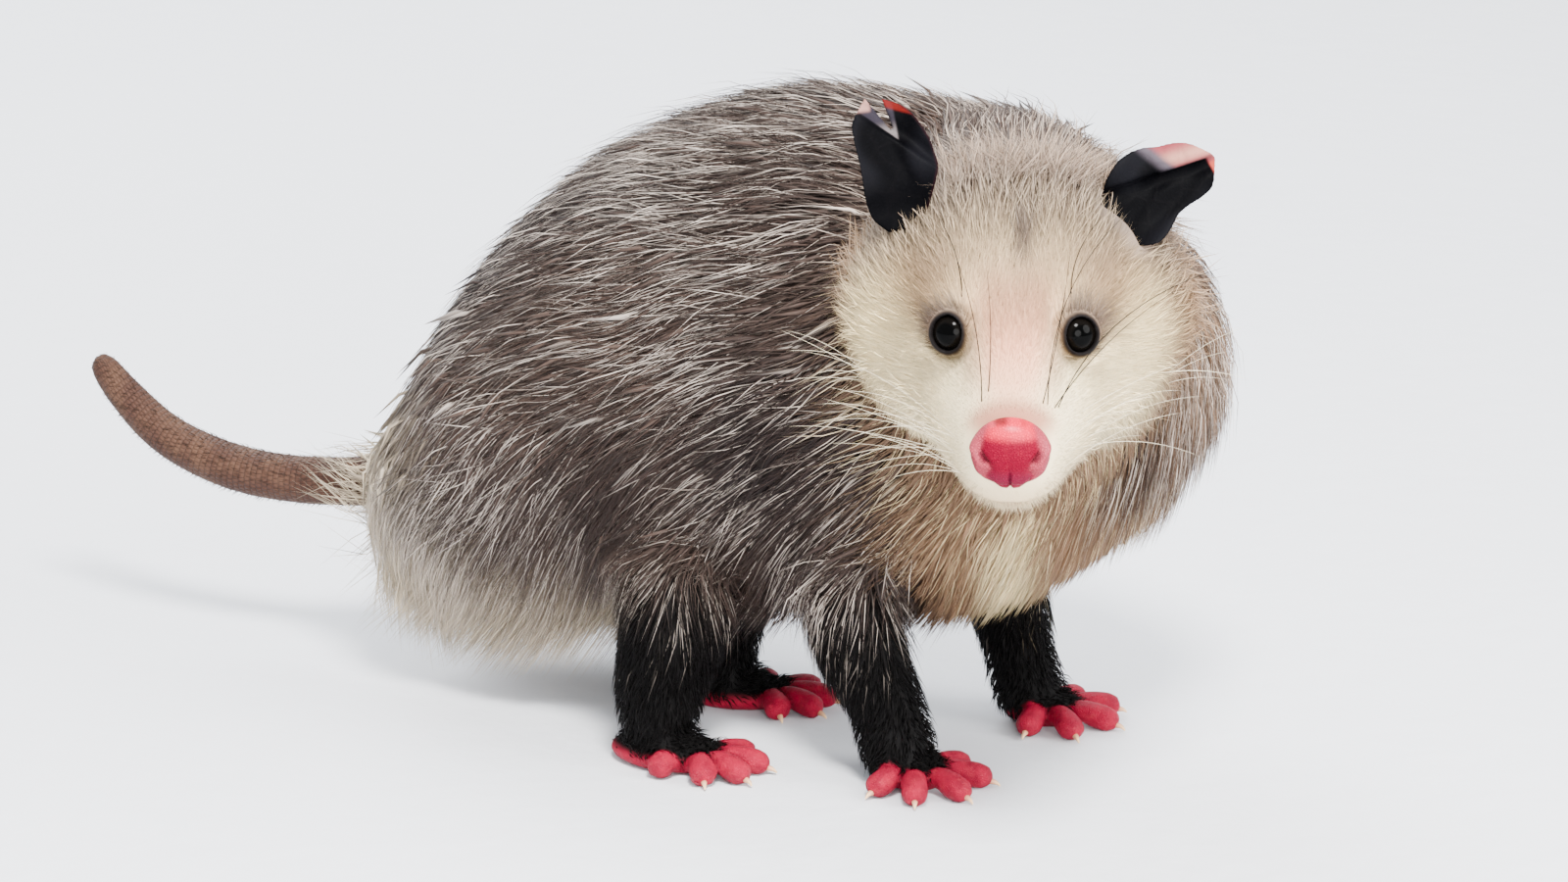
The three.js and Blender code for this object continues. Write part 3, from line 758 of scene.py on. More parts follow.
def refine(skin):
    """Finer faces on the feet and round the eyes, and still finer ones close to the eyes."""
    bm = bmesh.new()
    bm.from_mesh(skin.data)
    for reach, low in ((13, 12), (10.5, -math.inf)):
        points = np.array([v.co for v in bm.verts]) * 1000 - SHIFT
        from_eyes = [np.linalg.norm(points - eye_centre(hand), axis=1) for hand in (1, -1)]
        fine = (np.min(from_eyes, 0) < reach) | (points[:, 2] < low)
        near = {v for v, chosen in zip(bm.verts, fine) if chosen}
        edges = [edge for edge in bm.edges if near.issuperset(edge.verts)]
        bmesh.ops.subdivide_edges(bm, edges=edges, cuts=1, use_grid_fill=True)
    bmesh.ops.triangulate(bm, faces=[f for f in bm.faces if len(f.verts) > 4])
    bm.to_mesh(skin.data)
    bm.free()


class Web:
    """The edges of a mesh, for easing values along them."""

    def __init__(self, mesh):
        ends = np.empty(len(mesh.edges) * 2, int)
        mesh.edges.foreach_get("vertices", ends)
        self.a, self.b = ends.reshape(-1, 2).T
        self.count = len(mesh.vertices)
        self.degree = np.bincount(np.r_[self.a, self.b], minlength=self.count)

    def ease(self, values, rounds, amount=0.6):
        """Move each value towards the mean of its neighbours, by an amount that may vary."""
        values = np.array(values, float)
        flat = values.reshape(self.count, -1)
        for _ in range(rounds):
            for k in range(flat.shape[1]):
                column = flat[:, k]
                total = np.bincount(self.a, column[self.b], self.count)
                total += np.bincount(self.b, column[self.a], self.count)
                flat[:, k] = column + amount * (total / self.degree - column)
        return flat.reshape(values.shape)


# The line of the mouth: how high it lies at each distance behind the nose tip.
MOUTH = np.array([
    (-8, -17.4), (6, -18.2), (22, -17.6), (36, -16.4), (46, -14.4), (51, -13), (56, -13)])


def over_mouth(behind, over):
    """How high each point lies over the line of the mouth."""
    return over - np.interp(behind, MOUTH[:, 0], MOUTH[:, 1])


def shape_lids(points):
    """Lids: a rim that hugs each eyeball, round an opening that leads behind it."""
    for hand in (1, -1):
        x, y, z, slit = eye_place(points, hand)
        flat = x ** 2 + y ** 2
        rim = np.sqrt(np.maximum((EYE["radius"] + 1.1) ** 2 - flat, 0.2))
        rim += 0.5 * np.exp(-((slit - 1.1) / 0.16) ** 2)
        inside = np.sqrt(np.maximum((EYE["radius"] - 1.5) ** 2 - flat, 0.0)) - 2.5
        near = (z > -3) & (slit < 2.2)
        lid = mix(rim, z, smooth(slit, 1.18, 2.0))
        lid = mix(inside, lid, smooth(slit, 0.84, 0.97))
        points = points + np.where(near, lid - z, 0)[:, None] * gaze(hand)
    return points


def fill_cheeks(points):
    """The fur of the chin and the jowls makes them broader than the flesh."""
    for (behind, side, over), reach, push in (
            ((15, 10, -13), 9, 2.2), ((30, 17, -15), 11, 4.2), ((50, 27, -18), 16, 5.5)):
        for hand in (1, -1):
            away = points - head_point(behind, hand * side, over)
            share = np.exp(-(away ** 2).sum(1) / reach ** 2)
            points = points + (share * push)[:, None] * head_way(0.1, hand, -0.3)
    return points


def shape_mouth(points):
    """The line of the mouth, with a soft upper lip that hangs over the lower one."""
    behind, side, over = in_head(points)
    gap = over_mouth(behind, over)
    here = smooth(behind, -6, 2) * (1 - smooth(behind, 48, 55)) * (over < -2)
    inward = -unit(points - head_point(behind, 0 * side, np.full_like(side, -4.0)))
    groove = 1.5 * np.exp(-(gap / 0.9) ** 2) - 0.7 * np.exp(-((gap - 2.2) / 1.6) ** 2)
    jaw = 0.8 * smooth(-gap, 0.0, 2.0) * (1 - smooth(-gap, 5, 10))
    return points + (here * (groove + jaw))[:, None] * inward


# Lie of the coat

def trunk_lie(p):
    """Hair lies backwards, sinks towards the belly and hangs down over the rump."""
    low = smooth(118 - p[:, 2], -20, 60)
    rump = smooth(p[:, 1], 90, 180)
    breast = smooth(-p[:, 1], 25, 70)
    return np.stack([
        p[:, 0] / 110 * (low + rump),
        1 - 0.2 * low - 0.05 * rump - 0.5 * breast,
        -0.36 - 0.6 * low + 0.1 * rump - 0.75 * breast], 1)


def ruff_lie(p):
    """Out from the head on all sides and back, and more and more down below it."""
    _, side, over = in_head(p)
    out = unit(side[:, None] * HEAD_SIDE + (over[:, None] + 4) * HEAD_OVER)
    low = smooth(150 - p[:, 2], -25, 50) * (1 - 0.6 * smooth(side, 15, 45))
    return out * 0.75 - AHEAD * 0.75 - UP * (0.1 + 0.8 * low)[:, None]


def face_lie(p):
    """From the nose back over the face, parting round the eyes and out into the ruff."""
    behind, side, over = in_head(p)
    out = unit(side[:, None] * HEAD_SIDE + over[:, None] * HEAD_OVER)
    lie = -AHEAD + out * (0.25 + 0.6 * smooth(behind, 70, 105))[:, None]
    lie = lie - HEAD_OVER * (0.45 * smooth(-over, -6, 18) * smooth(behind, 25, 60))[:, None]
    for hand in (1, -1):
        from_eye = p - eye_centre(hand)
        near = np.exp(-(np.linalg.norm(from_eye, axis=1) / 12) ** 2)
        lie = mix(lie, unit(from_eye) * 1.2 - AHEAD * 0.4, near)
    return lie


def ripple(p, wave, seed, stretch=(1, 1, 1)):
    """A smooth, endless random swell between about -1 and 1."""
    draw = np.random.default_rng(seed)
    ways = unit(draw.normal(size=(9, 3))) * math.tau / wave * draw.uniform(0.6, 1.5, (9, 1))
    return np.sin(p @ (ways / np.array(stretch)).T + draw.uniform(0, math.tau, 9)).sum(1) / 3.2


# Markings: colours of the parts of the coat, mixed for bright soft light

IVORY = rgb(255, 237, 190)
CREAM = rgb(250, 228, 172)
TAN = rgb(146, 112, 78)
EYE_TAN = rgb(114, 84, 62)
BROWN = rgb(76, 61, 53)
DARK = rgb(38, 30, 28)
BLACK = rgb(9, 8, 8)
PALE = rgb(187, 174, 162)
BUFF = rgb(150, 116, 86)
ROSE = rgb(222, 146, 118)
BARE_ROSE = rgb(150, 84, 70)
CHIN_TAN = rgb(190, 160, 122)
LID_BROWN = rgb(26, 16, 13)
FRINGE = rgb(200, 184, 158)
PINK = rgb(144, 12, 44)
TAIL_TAN = rgb(62, 41, 33)


def painted(colour, *layers):
    """A colour under layers of paint, each a colour and its share."""
    for paint, share in layers:
        colour = mix(colour, paint, share)
    return colour


def blot(p, centre, reach):
    """A soft spot round a point of the head."""
    away = np.stack(in_head(p), 1) - np.array(centre)
    return np.exp(-((away / np.array(reach)) ** 2).sum(1))


def both(p, behind, side, over, reach):
    """The same spot on both sides of the face."""
    return np.clip(sum(blot(p, (behind, hand * side, over), reach) for hand in (1, -1)), 0, 1)


def face_colour(p):
    """Cream, with tan patches over the eyes, a rosy bridge and a streaked brown crown."""
    behind, side, over = in_head(p)
    chin = smooth(-over, 8, 16) * (1 - smooth(behind, 22, 44))
    dots = smooth(ripple(p, 4.2, 23), 0.35, 0.9) * both(p, 18, 13, -2, (12, 6, 9))
    combed = np.stack([behind * 0.22, side * 1.3, over * 0.22], 1)
    streaks = smooth(ripple(combed, 5.0, 21), -0.2, 0.7) * np.exp(-(side / 24) ** 2)
    streaks = streaks * smooth(behind, 54, 76) * smooth(over, 10, 25)
    crown = smooth(behind, 66, 88) * smooth(over, 4, 24)
    outer = np.maximum(smooth(behind, 80, 104) * smooth(-over, -14, 10), smooth(side, 34, 48))
    colour = painted(
        IVORY,
        (CREAM, smooth(behind, 30, 78)),
        (TAN, 0.5 * smooth(behind, 46, 74) * smooth(over, 6, 26)),
        (TAN, 0.85 * both(p, 61, 27, 26, (13, 13, 14))),
        (EYE_TAN, 0.75 * both(p, 53, 25, 19, (7, 6, 7))),
        (mix(TAN, ROSE, 0.5), 0.8 * both(p, 48, 7, 20, (20, 9, 11))),
        (ROSE, 0.75 * both(p, 30, 4, 13, (18, 6, 9))),
        # Painted shade: a tan streak from each inner eye corner down the side of the muzzle.
        (EYE_TAN, 0.75 * both(p, 39, 12, 9, (12, 3.2, 6))),
        (BARE_ROSE, 0.9 * smooth(17 - behind, -4, 6) * smooth(over, 0, 7)),
        (CHIN_TAN, 0.55 * chin),
        (EYE_TAN, 0.45 * dots),
        (mix(BROWN, DARK, 0.4), 0.7 * streaks),
        (DARK, np.clip(1.7 * blot(p, (67, 2, 35), (8, 2.6, 9)), 0, 1)),
        (mix(BROWN, TAN, 0.3), 0.85 * crown),
        (mix(BUFF, BROWN, 0.3), 0.85 * outer),
        (IVORY, 0.75 * both(p, 46, 24, -6, (17, 13, 9))),
    )
    for hand in (1, -1):
        x, y, z, slit = eye_place(p, hand)
        corner = np.exp(-((x * hand - 7.2) / 3.0) ** 2 - ((y - 2.6) / 2.2) ** 2) * (np.abs(z) < 9)
        lid = (1 - smooth(slit, 1.1, 1.5)) * (z > -7)
        colour = mix(colour, LID_BROWN, np.clip(lid + 0.75 * corner, 0, 1))
    return colour


def left_ruff(behind, side, over):
    """The soft pale fur that stands out on the left of the head, partly painted light on the lit
    side.
    """
    return smooth(side, 34, 48) * (1 - smooth(behind, 140, 190)) * smooth(over, -56, -22)


def coat_colours(p, label, normals):
    """The colour of the hairs near their roots and at their tips, at each point of the skin."""
    x, y, z = p.T
    behind, side, over = in_head(p)
    under = np.tile(DARK, (len(p), 1))
    guard = np.tile(PALE, (len(p), 1))
    under = mix(under, BROWN, 0.35 + 0.25 * ripple(p, 60, 3))
    rear = y - 0.45 * (z - 60) + 7 * ripple(p, 34, 9)
    fringe = np.maximum(smooth(rear, 112, 172), smooth(y, 62, 92) * smooth(88 - z, 0, 44))
    # Painted shade: the fringe's roots turn browner and all guard hairs darker towards the bottom of
    # the coat.
    under = mix(under, mix(FRINGE, BROWN, 0.15 + 0.25 * smooth(60 - z, 0, 30)), fringe)
    guard = mix(guard, FRINGE, fringe) * (1 - 0.45 * smooth(62 - z, 0, 34))[:, None]
    thigh = np.exp(-((y - 48) / 12) ** 2) * smooth(88 - z, 0, 34) * (x < 0)
    under = mix(under, BLACK, 0.25 * thigh)
    throat = smooth(-y, 12, 34) * smooth(126 - z, 0, 30) * (1 - 0.85 * smooth(x, 26, 60))
    under = mix(under, mix(BUFF, BROWN, 0.3), throat)
    guard = mix(guard, mix(BUFF, CREAM, 0.45), throat)
    stripe = throat * np.exp(-((0.42 * x - 0.91 * y - 32) / 6.5) ** 2)
    under = mix(under, CREAM, 0.9 * stripe)
    guard = mix(guard, IVORY, stripe)
    ruff = label == RUFF
    near_head = smooth(-behind, -128, -98) * smooth(-over, -30, 10)
    # Buff-brown by the head, with painted shadow: it turns dark towards the head's right, behind the
    # right cheek.
    by_head_with_shadow = mix(mix(BUFF, BROWN, 0.35), DARK, 0.5 * smooth(-side, 0, 40))
    under[ruff] = mix(mix(under, BROWN, 0.5), by_head_with_shadow, near_head)[ruff]
    crown = smooth(-behind, -135, -105) * smooth(over, 10, 35)
    guard[ruff] = mix(mix(guard, BUFF, 0.25), mix(CREAM, BUFF, 0.4), near_head)[ruff]
    guard[ruff] = mix(guard, mix(mix(PALE, TAN, 0.7), BROWN, 0.35), crown)[ruff]
    # Partly painted light: paler roots and tips on the head's lit left side.
    under = mix(under, mix(BUFF, BROWN, 0.4), 0.7 * left_ruff(behind, side, over))
    guard = mix(guard, mix(PALE, BUFF, 0.4), 0.6 * left_ruff(behind, side, over))
    face = label == FACE
    colour = face_colour(p[face])
    ahead = dot(normals[face], AHEAD)
    edge = (1 - smooth(ahead, 0.12, 0.72)) * smooth(behind[face], 34, 64)
    rim_colour = mix(mix(BUFF, BROWN, 0.25), mix(PALE, BROWN, 0.5), smooth(over[face], 0, 30))
    colour = mix(colour, rim_colour, 0.85 * edge)
    brow = smooth(behind[face], 50, 92) * smooth(over[face], 4, 32)
    root = mix(EYE_TAN, BROWN, brow)
    under[face] = mix(colour, root, 0.25 + 0.38 * np.maximum(smooth(behind[face], 90, 108), brow))
    back = mix(mix(PALE, TAN, 0.7), BROWN, 0.3)
    guard[face] = mix(colour, back, 0.65 * smooth(behind[face], 84, 106))
    limb = (label == LIMB) | (label == PALM)
    under[limb] = mix(BLACK, under[limb], smooth(z[limb], 52, 88))
    guard[limb] = mix(rgb(30, 27, 26), guard[limb], 0.85 * smooth(z[limb], 22, 60))
    return under, guard


# Coat

TUFT_PATCH = 0.003  # the side of each tuft's patch on the map, which is 1 wide
THIN = 1


class Pelt:
    """The skin as the coat sees it: its triangles, and the values kept for each point."""

    def __init__(self, skin, unwrap):
        mesh = skin.data
        mesh.calc_loop_triangles()
        corners = np.empty(len(mesh.loop_triangles) * 3, int)
        mesh.loop_triangles.foreach_get("vertices", corners)
        self.corners = corners.reshape(-1, 3)
        self.points = points_of(skin)
        self.normals = per_point(skin, "normal")
        self.unwrap = unwrap
        self.web = Web(mesh)
        a, b, c = (self.points[self.corners[:, k]] for k in range(3))
        self.area = np.linalg.norm(np.cross(b - a, c - a), axis=1) / 2
        self.tree = BVHTree.FromPolygons(self.points.tolist(), self.corners.tolist())
        self.values = {"points": self.points, "normals": self.normals}

    def keep(self, name, values, rounds):
        self.values[name] = self.web.ease(values, rounds)

    def at(self, name, faces, weights=None):
        """A kept value at each spot, by its name, or else the same number at all of them."""
        if not isinstance(name, str):
            return np.full(len(faces), name)
        picked = self.values[name][self.corners[faces]]
        if weights is None:
            return picked.mean(1)
        return (picked * weights.reshape(*weights.shape, *[1] * (picked.ndim - 2))).sum(1)

    def roots(self, density, count, draw):
        """Roots spread evenly over the skin, in proportion to a density at each point."""
        share = self.area * density[self.corners].mean(1)
        total = np.cumsum(share)
        wanted = (np.arange(count) + draw.random(count)) / count * total[-1]
        faces = np.minimum(np.searchsorted(total, wanted), len(total) - 1)
        u, v = draw.random((2, count))
        over = u + v > 1
        u, v = np.where(over, 1 - u, u), np.where(over, 1 - v, v)
        return faces, np.stack([1 - u - v, u, v], 1)

    def comb(self, faces, weights, length, height, steps, draw, wander, stiff):
        """Paths of hairs: each walks over the skin along the lie, rises and may hang free. A stiff
        one also runs on straight instead of following the skin."""
        spot = self.at("points", faces, weights)
        normal = unit(self.at("normals", faces, weights))
        lie = unit(self.at("lie", faces, weights))
        twist = draw.normal(0, wander, len(faces))
        paths = [spot - normal * 1.0]
        stride = length / steps
        for step in range(1, steps + 1):
            way = lie - normal * dot(lie, normal)[:, None]
            way = unit(unit(way) + np.cross(normal, unit(way)) * twist[:, None])
            found = [self.tree.find_nearest(p) for p in (spot + way * stride[:, None]).tolist()]
            spot = np.array([f[0][:] for f in found])
            faces = np.array([f[2] for f in found])
            normal = unit(self.at("normals", faces))
            lie = unit(self.at("lie", faces))
            share = step / steps
            rise = height * (1 - (1 - share) ** 1.7)
            laid = spot + normal * rise[:, None]
            free = paths[-1] + unit(way + np.array([0, 0, -0.9])) * stride[:, None]
            laid = mix(laid, free, smooth(-normal[:, 2], 0.05, 0.6))
            if step > 1:
                straight = paths[-1] + unit(paths[-1] - paths[-2]) * stride[:, None]
                laid = mix(laid, straight, stiff)
            laid = laid - UP * (self.at("sag", faces) * share ** 2 / 1.6)[:, None]
            paths.append(laid)
        path = np.stack(paths, 1)
        path[..., 2] = np.maximum(path[..., 2], 0.6)
        return path


def gather(path, count, strength, draw):
    """Lean tufts together into wisps, each towards a leader, and give each one's leader too."""
    leaders = draw.choice(len(path), max(1, int(len(path) / count)), replace=False)
    chosen = leaders[nearest(path[leaders, 0], path[:, 0])]
    share = np.linspace(0, 1, path.shape[1])[None, :, None] ** 1.5 * strength
    share = share * draw.uniform(0.5, 1.1, (len(path), 1, 1))
    apart = np.linalg.norm(path[chosen, -1] - path[:, -1], axis=1)
    reach = np.linalg.norm(path[:, -1] - path[:, 0], axis=1)
    share = share * (1 - smooth(apart / reach, 0.3, 0.6))[:, None, None]
    return path + (path[chosen] - path) * share, chosen


def tufts(name, path, facing, width, tint, shade, unwrap, finish, profile, flat=0.4):
    """Tapered three-sided tufts as one mesh: each has a root, some rings and a point."""
    count, rings = len(path), path.shape[1] - 1
    ahead = np.empty_like(path[:, :-1])
    ahead[:, 0] = path[:, 1] - path[:, 0]
    ahead[:, 1:] = path[:, 2:] - path[:, :-2]
    ahead = unit(ahead)
    side = unit(np.cross(ahead, facing[:, None, :]))
    over = np.cross(side, ahead)
    size = (width[:, None] * np.array(profile))[..., None] / 2
    ring = path[:, :-1]
    corners = np.stack([ring - side * size, ring + over * size * 2 * flat, ring + side * size], 2)
    points = np.concatenate([corners.reshape(count, -1, 3), path[:, -1:]], 1)
    each = rings * 3 + 1
    tip = each - 1
    sides = [[3 * k + i, 3 * k + (i + 1) % 3, 3 * k + 3 + (i + 1) % 3, 3 * k + 3 + i]
             for k in range(rings - 1) for i in range(3)]
    ends = [[tip - 3 + i, tip - 3 + (i + 1) % 3, tip] for i in range(3)] + [[0, 2, 1]]
    pattern = np.array(sum(sides + ends, []))
    corner_counts = np.array([4] * len(sides) + [3] * len(ends))
    faces_each = len(corner_counts)
    loops = (pattern[None] + np.arange(count)[:, None] * each).ravel()

    mesh = bpy.data.meshes.new(name)
    mesh.vertices.add(count * each)
    mesh.vertices.foreach_set("co", place(points).astype(np.float32).ravel())
    mesh.loops.add(len(loops))
    mesh.loops.foreach_set("vertex_index", loops.astype(np.int32))
    starts = np.concatenate([[0], np.cumsum(corner_counts)[:-1]])
    starts = (starts[None] + np.arange(count)[:, None] * len(pattern)).ravel()
    mesh.polygons.add(count * faces_each)
    mesh.polygons.foreach_set("loop_start", starts.astype(np.int32))
    mesh.update(calc_edges=True)
    mesh.polygons.foreach_set("use_smooth", np.ones(count * faces_each, bool))
    rings_of = np.append(np.repeat(np.arange(rings), 3), rings)
    set_attribute(mesh, "tint", tint[:, rings_of].reshape(-1, 3))
    set_attribute(mesh, "shade", np.repeat(shade, each))
    along = np.append(np.repeat(np.arange(rings) / rings, 3), 1.0)
    set_attribute(mesh, "along", np.tile(along, count))
    # Each tuft is a small patch of the map, at its root's place on the unwrapped skin.
    beside = np.append(np.tile([0.0, 0.5, 1.0], rings), 0.5)
    patch = TUFT_PATCH * np.stack([beside - 0.5, along - 0.5], 1)
    spread = 0.002 + 0.996 * (unwrap[:, None] * (1 - TUFT_PATCH) + TUFT_PATCH / 2 + patch[None])
    layer = mesh.uv_layers.new(name="OFBake")
    layer.data.foreach_set("uv", spread.reshape(-1, 2)[loops].astype(np.float32).ravel())
    mesh.materials.append(finish)
    triangles = count * (2 * len(sides) + len(ends))
    assert triangles < 200000, (name, triangles)
    obj = bpy.data.objects.new(name, mesh)
    bpy.context.scene.collection.objects.link(obj)
    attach(obj, "root")
    return obj


def lay_coat(pelt, name, finish, region, count, steps, seed, pale, wisp, wander=0.2,
             length="long", height="high", width="fine", parts=1, clear=None, fade=(0.1, 0.6),
             stiff=0.0, sizes=(0.75, 1.15)):
    """One layer of the coat over a region, cut into as many pieces as it needs. A measure is a
    number or the name of a value of the pelt. A wisp is its number of tufts and how far they
    lean together. A hair turns from its under colour to its guard colour along its fade."""
    draw = np.random.default_rng(seed)
    count = count // THIN
    faces, weights = pelt.roots(region, count, draw)
    size = draw.uniform(*sizes, count)
    long = pelt.at(length, faces, weights) * size
    high = pelt.at(height, faces, weights)
    high = high * draw.uniform(0.65, 1.25, count) * np.where(draw.random(count) < 0.06, 1.5, 1)
    path = pelt.comb(faces, weights, long, high, steps, draw, wander, stiff)
    path, leader = gather(path, wisp[0], wisp[1], draw)
    lot = draw.random(count)[leader] * 0.5 + draw.random(count) * 0.5
    white = smooth(pelt.at(pale, faces, weights) - lot, -0.12, 0.12)
    dark, light = pelt.at("under", faces, weights), pelt.at("guard", faces, weights)
    rise = smooth(np.linspace(0, 1, steps + 1), *fade)[None] * white[:, None]
    tint = mix(dark[:, None], light[:, None], rise)
    corner = pelt.corners[faces][:, 0]
    unwrap = pelt.unwrap[corner]
    facing = unit(pelt.at("normals", faces, weights) + draw.normal(0, 0.35, (count, 3)))
    wide = pelt.at(width, faces, weights) * draw.uniform(0.7, 1.25, count)
    keep = np.ones(count, bool) if clear is None else clear(path)
    order = np.nonzero(keep)[0]
    order = order[np.argsort(path[order, 0, 1], kind="stable")]
    profile = np.interp(np.linspace(0, 1, steps + 1)[:-1], [0, 0.35, 1], [0.8, 1, 0.2])
    for k, part in enumerate(np.array_split(order, parts)):
        chart = unwrap[part, 2]
        spots = unwrap[part, :2].copy()
        charts = np.unique(chart)
        spots[:, 0] = (spots[:, 0] + np.searchsorted(charts, chart)) / len(charts)
        obj = tufts(f"{name}_{k + 1}" if parts > 1 else name, path[part], facing[part], wide[part],
                    tint[part], draw.random(len(part)), spots, finish, profile)


def finer(path):
    """The same hairs with three more points between each two of theirs."""
    cuts = 4
    share = np.arange(cuts)[:, None] / cuts
    between = path[:, :-1, None] * (1 - share) + path[:, 1:, None] * share
    return np.concatenate([between.reshape(len(path), -1, 3), path[:, -1:]], 1)


def off_the_ears(path):
    """Which hairs neither pass through an ear nor cross its face above its root."""
    path = finer(path)
    clear = np.ones(len(path), bool)
    for shape in EARS.values():
        up, across, front = ear_axes(shape)
        away = path - head_point(*shape["base"])
        rise, wide, out = dot(away, up), dot(away, across), dot(away, front)
        heights = np.linspace(*shape["reach"], 11)
        inside = wide > np.interp(rise, heights, shape["low"]) - 0.5
        inside &= wide < np.interp(rise, heights, shape["high"]) + 0.5
        through = (rise > 4) & (np.abs(out - ear_depth(shape, rise, wide)) < 2.4)
        across_face = (rise > 9) & (np.abs(out - 7) < 9)
        inside &= (rise < heights[-1]) & (through | across_face)
        clear &= ~inside.any(1)
    return clear


def off_the_face(path):
    """Which hairs leave the eyes, the nose and the ears free."""
    behind, side, over = in_head(path)
    clear = off_the_ears(path)
    clear &= ~((behind < 9) & (np.hypot(side / 11.5, over / 10.2) < 1))[:, 1:].any(1)
    for hand in (1, -1):
        _, _, z, slit = eye_place(path, hand)
        clear &= ~((z > 0) & (slit < 0.92)).any(1)
    return clear


def comb_pelt(skin, label, unwrap):
    """Keep all that the coat reads off the skin: lie, sag, length, height, width, colours and
    where each layer grows."""
    pelt = Pelt(skin, unwrap)
    p = pelt.points
    x, y, z = p.T
    behind, side, over = in_head(p)
    body, ruff, face, limb, palm_top, bare, tail = (label == part for part in PARTS)

    lie = trunk_lie(p)
    lie[ruff] = ruff_lie(p[ruff])
    lie[face] = face_lie(p[face])
    lie[limb] = mix([0, 0.1, -1.0], unit(trunk_lie(p)), smooth(z, 52, 76))[limb]
    for shape in FEET.values():
        here = (palm_top | bare) & (np.hypot(x - shape["at"][0], y - shape["at"][1]) < 40)
        lie[here] = turned(FORWARD, UP, shape["point"]) - UP * 0.3
    lie[tail] = [0, 1, 0]
    lie = unit(lie)
    lie += 0.16 * np.stack([ripple(p, 26, 40 + k) for k in range(3)], 1)
    pelt.keep("lie", lie, 8)

    low_rear = smooth(y, 45, 95) * smooth(112 - z, 0, 45)
    breast = smooth(-y, 10, 45) * smooth(118 - z, 0, 40)
    sag = 5 * smooth(112 - z, 0, 50) + 3 * low_rear
    sag = np.where(body, sag * (1 - 0.7 * smooth(y, 120, 170)), 0.0)
    sag = sag * (1 - 0.8 * breast)
    pelt.keep("sag", sag, 10)
    long = np.full(len(p), 44.0)
    long += 4 * smooth(y, 60, 140) - 12 * smooth(y, 160, 196) * smooth(z, 50, 80) - 14 * breast
    long += 13 * smooth(y, 52, 78) * smooth(80 - z, 0, 24) * (1 - 0.9 * smooth(y, 110, 150))
    long += 14 * smooth(y, 146, 176) * smooth(58 - z, -6, 12) * smooth(z, 18, 34)
    long -= 12 * smooth(-pelt.normals[:, 2], 0.3, 0.9)
    long[ruff] = 30
    back_of_head = smooth(behind, 58, 104)
    chin = smooth(-over, 5, 14) * (1 - smooth(behind, 30, 50))
    crown = smooth(over, 16, 38) * smooth(behind, 70, 100)
    on_face = 1.8 + 6 * smooth(behind, 20, 60) + 20 * back_of_head ** 1.5 + 4 * chin + 6 * crown
    long[face] = on_face[face]
    long[limb] = (7 + 20 * smooth(z, 16, 66))[limb]
    long[palm_top | bare] = 4
    rimmed = (1 - smooth(dot(pelt.normals, AHEAD), 0.1, 0.6)) * smooth(behind, 40, 64) * face
    long += (2 + 10 * smooth(side, -10, 40)) * rimmed
    pelt.keep("long", long, 16)
    high = 8.5 - 3.5 * smooth(y, 80, 160) + 6 * smooth(y, 150, 180) * smooth(58 - z, -6, 12)
    high[ruff] = (8 - 4 * smooth(side, 15, 45))[ruff]
    high[ruff] += (5 * smooth(over, 20, 45))[ruff]
    on_face = 0.5 + 2.3 * smooth(behind, 20, 62) + 5 * back_of_head ** 1.5 + 1.2 * chin + 7 * crown
    high[face] = on_face[face]
    high[limb] = (3 + 5 * smooth(z, 50, 90))[limb]
    high[palm_top | bare] = 1.2
    pelt.keep("high", high, 16)
    fine = np.full(len(p), 0.46)
    fine[face] = (0.32 + 0.16 * back_of_head)[face]
    low = limb | palm_top
    fine[low] = (0.52 - 0.12 * smooth(z, 30, 70))[low]
    pelt.keep("fine", fine, 8)
    pale = 0.32 + 0.12 * ripple(p, 30, 8, (1, 2.2, 1)) + 0.07 * smooth(z, 120, 190)
    pale += (0.4 * smooth(y - 0.3 * (z - 60), 104, 156)
             + 0.5 * smooth(84 - z, 0, 40) * smooth(y, 62, 90))
    pale -= 0.12 * np.exp(-((y - 62) / 46) ** 2) * smooth(132 - z, 0, 40)
    pale += 0.06 * np.exp(-(((p - np.array([-56, 31, 145])) / 26) ** 2).sum(1))
    # Paler towards the head's left: partly painted light on the lit side.
    pale[ruff] = (0.42 + 0.12 * smooth(side, 0, 40))[ruff]
    pale = mix(pale, 0.5, left_ruff(behind, side, over))
    # Painted shadow: fewer pale tips in the fur behind and below the right cheek.
    pale -= 0.3 * blot(p, (95, -54, -42), (30, 12, 20))
    pale[low] = (0.05 + 0.15 * smooth(z, 26, 66) + 0.4 * smooth(z, 50, 80))[low]
    pelt.keep("pale", pale, 8)

    under, guard = coat_colours(p, label, pelt.normals)
    guard[bare] = under[bare] = BLACK
    under[palm_top] = BLACK
    under[tail] = TAIL_TAN
    guard[tail] = rgb(48, 36, 30)
    pelt.keep("under", under, 3)
    pelt.keep("guard", guard, 3)
    slit = np.min([eye_place(p, h)[3] + 5 * (eye_place(p, h)[2] < -3) for h in (1, -1)], 0)
    lips = np.exp(-(over_mouth(behind, over) / 1.1) ** 2) * (behind < 50)
    muzzle = smooth(np.maximum(np.hypot(side / 12.2, over / 10.6), behind / 10), 0.98, 1.12)
    dense = 0.7 + 0.9 * (1 - smooth(behind, 40, 80))
    pelt.values["face"] = face * smooth(slit, 1.0, 1.25) * muzzle * (1 - 0.85 * lips) * dense
    pelt.values["trunk"] = (body | ruff).astype(float) * (0.35 + 0.65 * smooth(z, 30, 60))
    pelt.values["limbs"] = limb + 1.6 * palm_top * smooth(z, 4, 7)
    jowl = smooth(behind, 24, 44) * smooth(-over, 2, 12)
    pelt.values["cheeks"] = face * np.maximum(smooth(behind, 56, 84), jowl) * smooth(slit, 1.3, 1.6)
    pelt.values["cheeks"] *= 1 + (0.5 + 1.2 * smooth(side, -10, 30)) * rimmed
    return pelt


SCALES = {"long": 2.1, "round": 30}


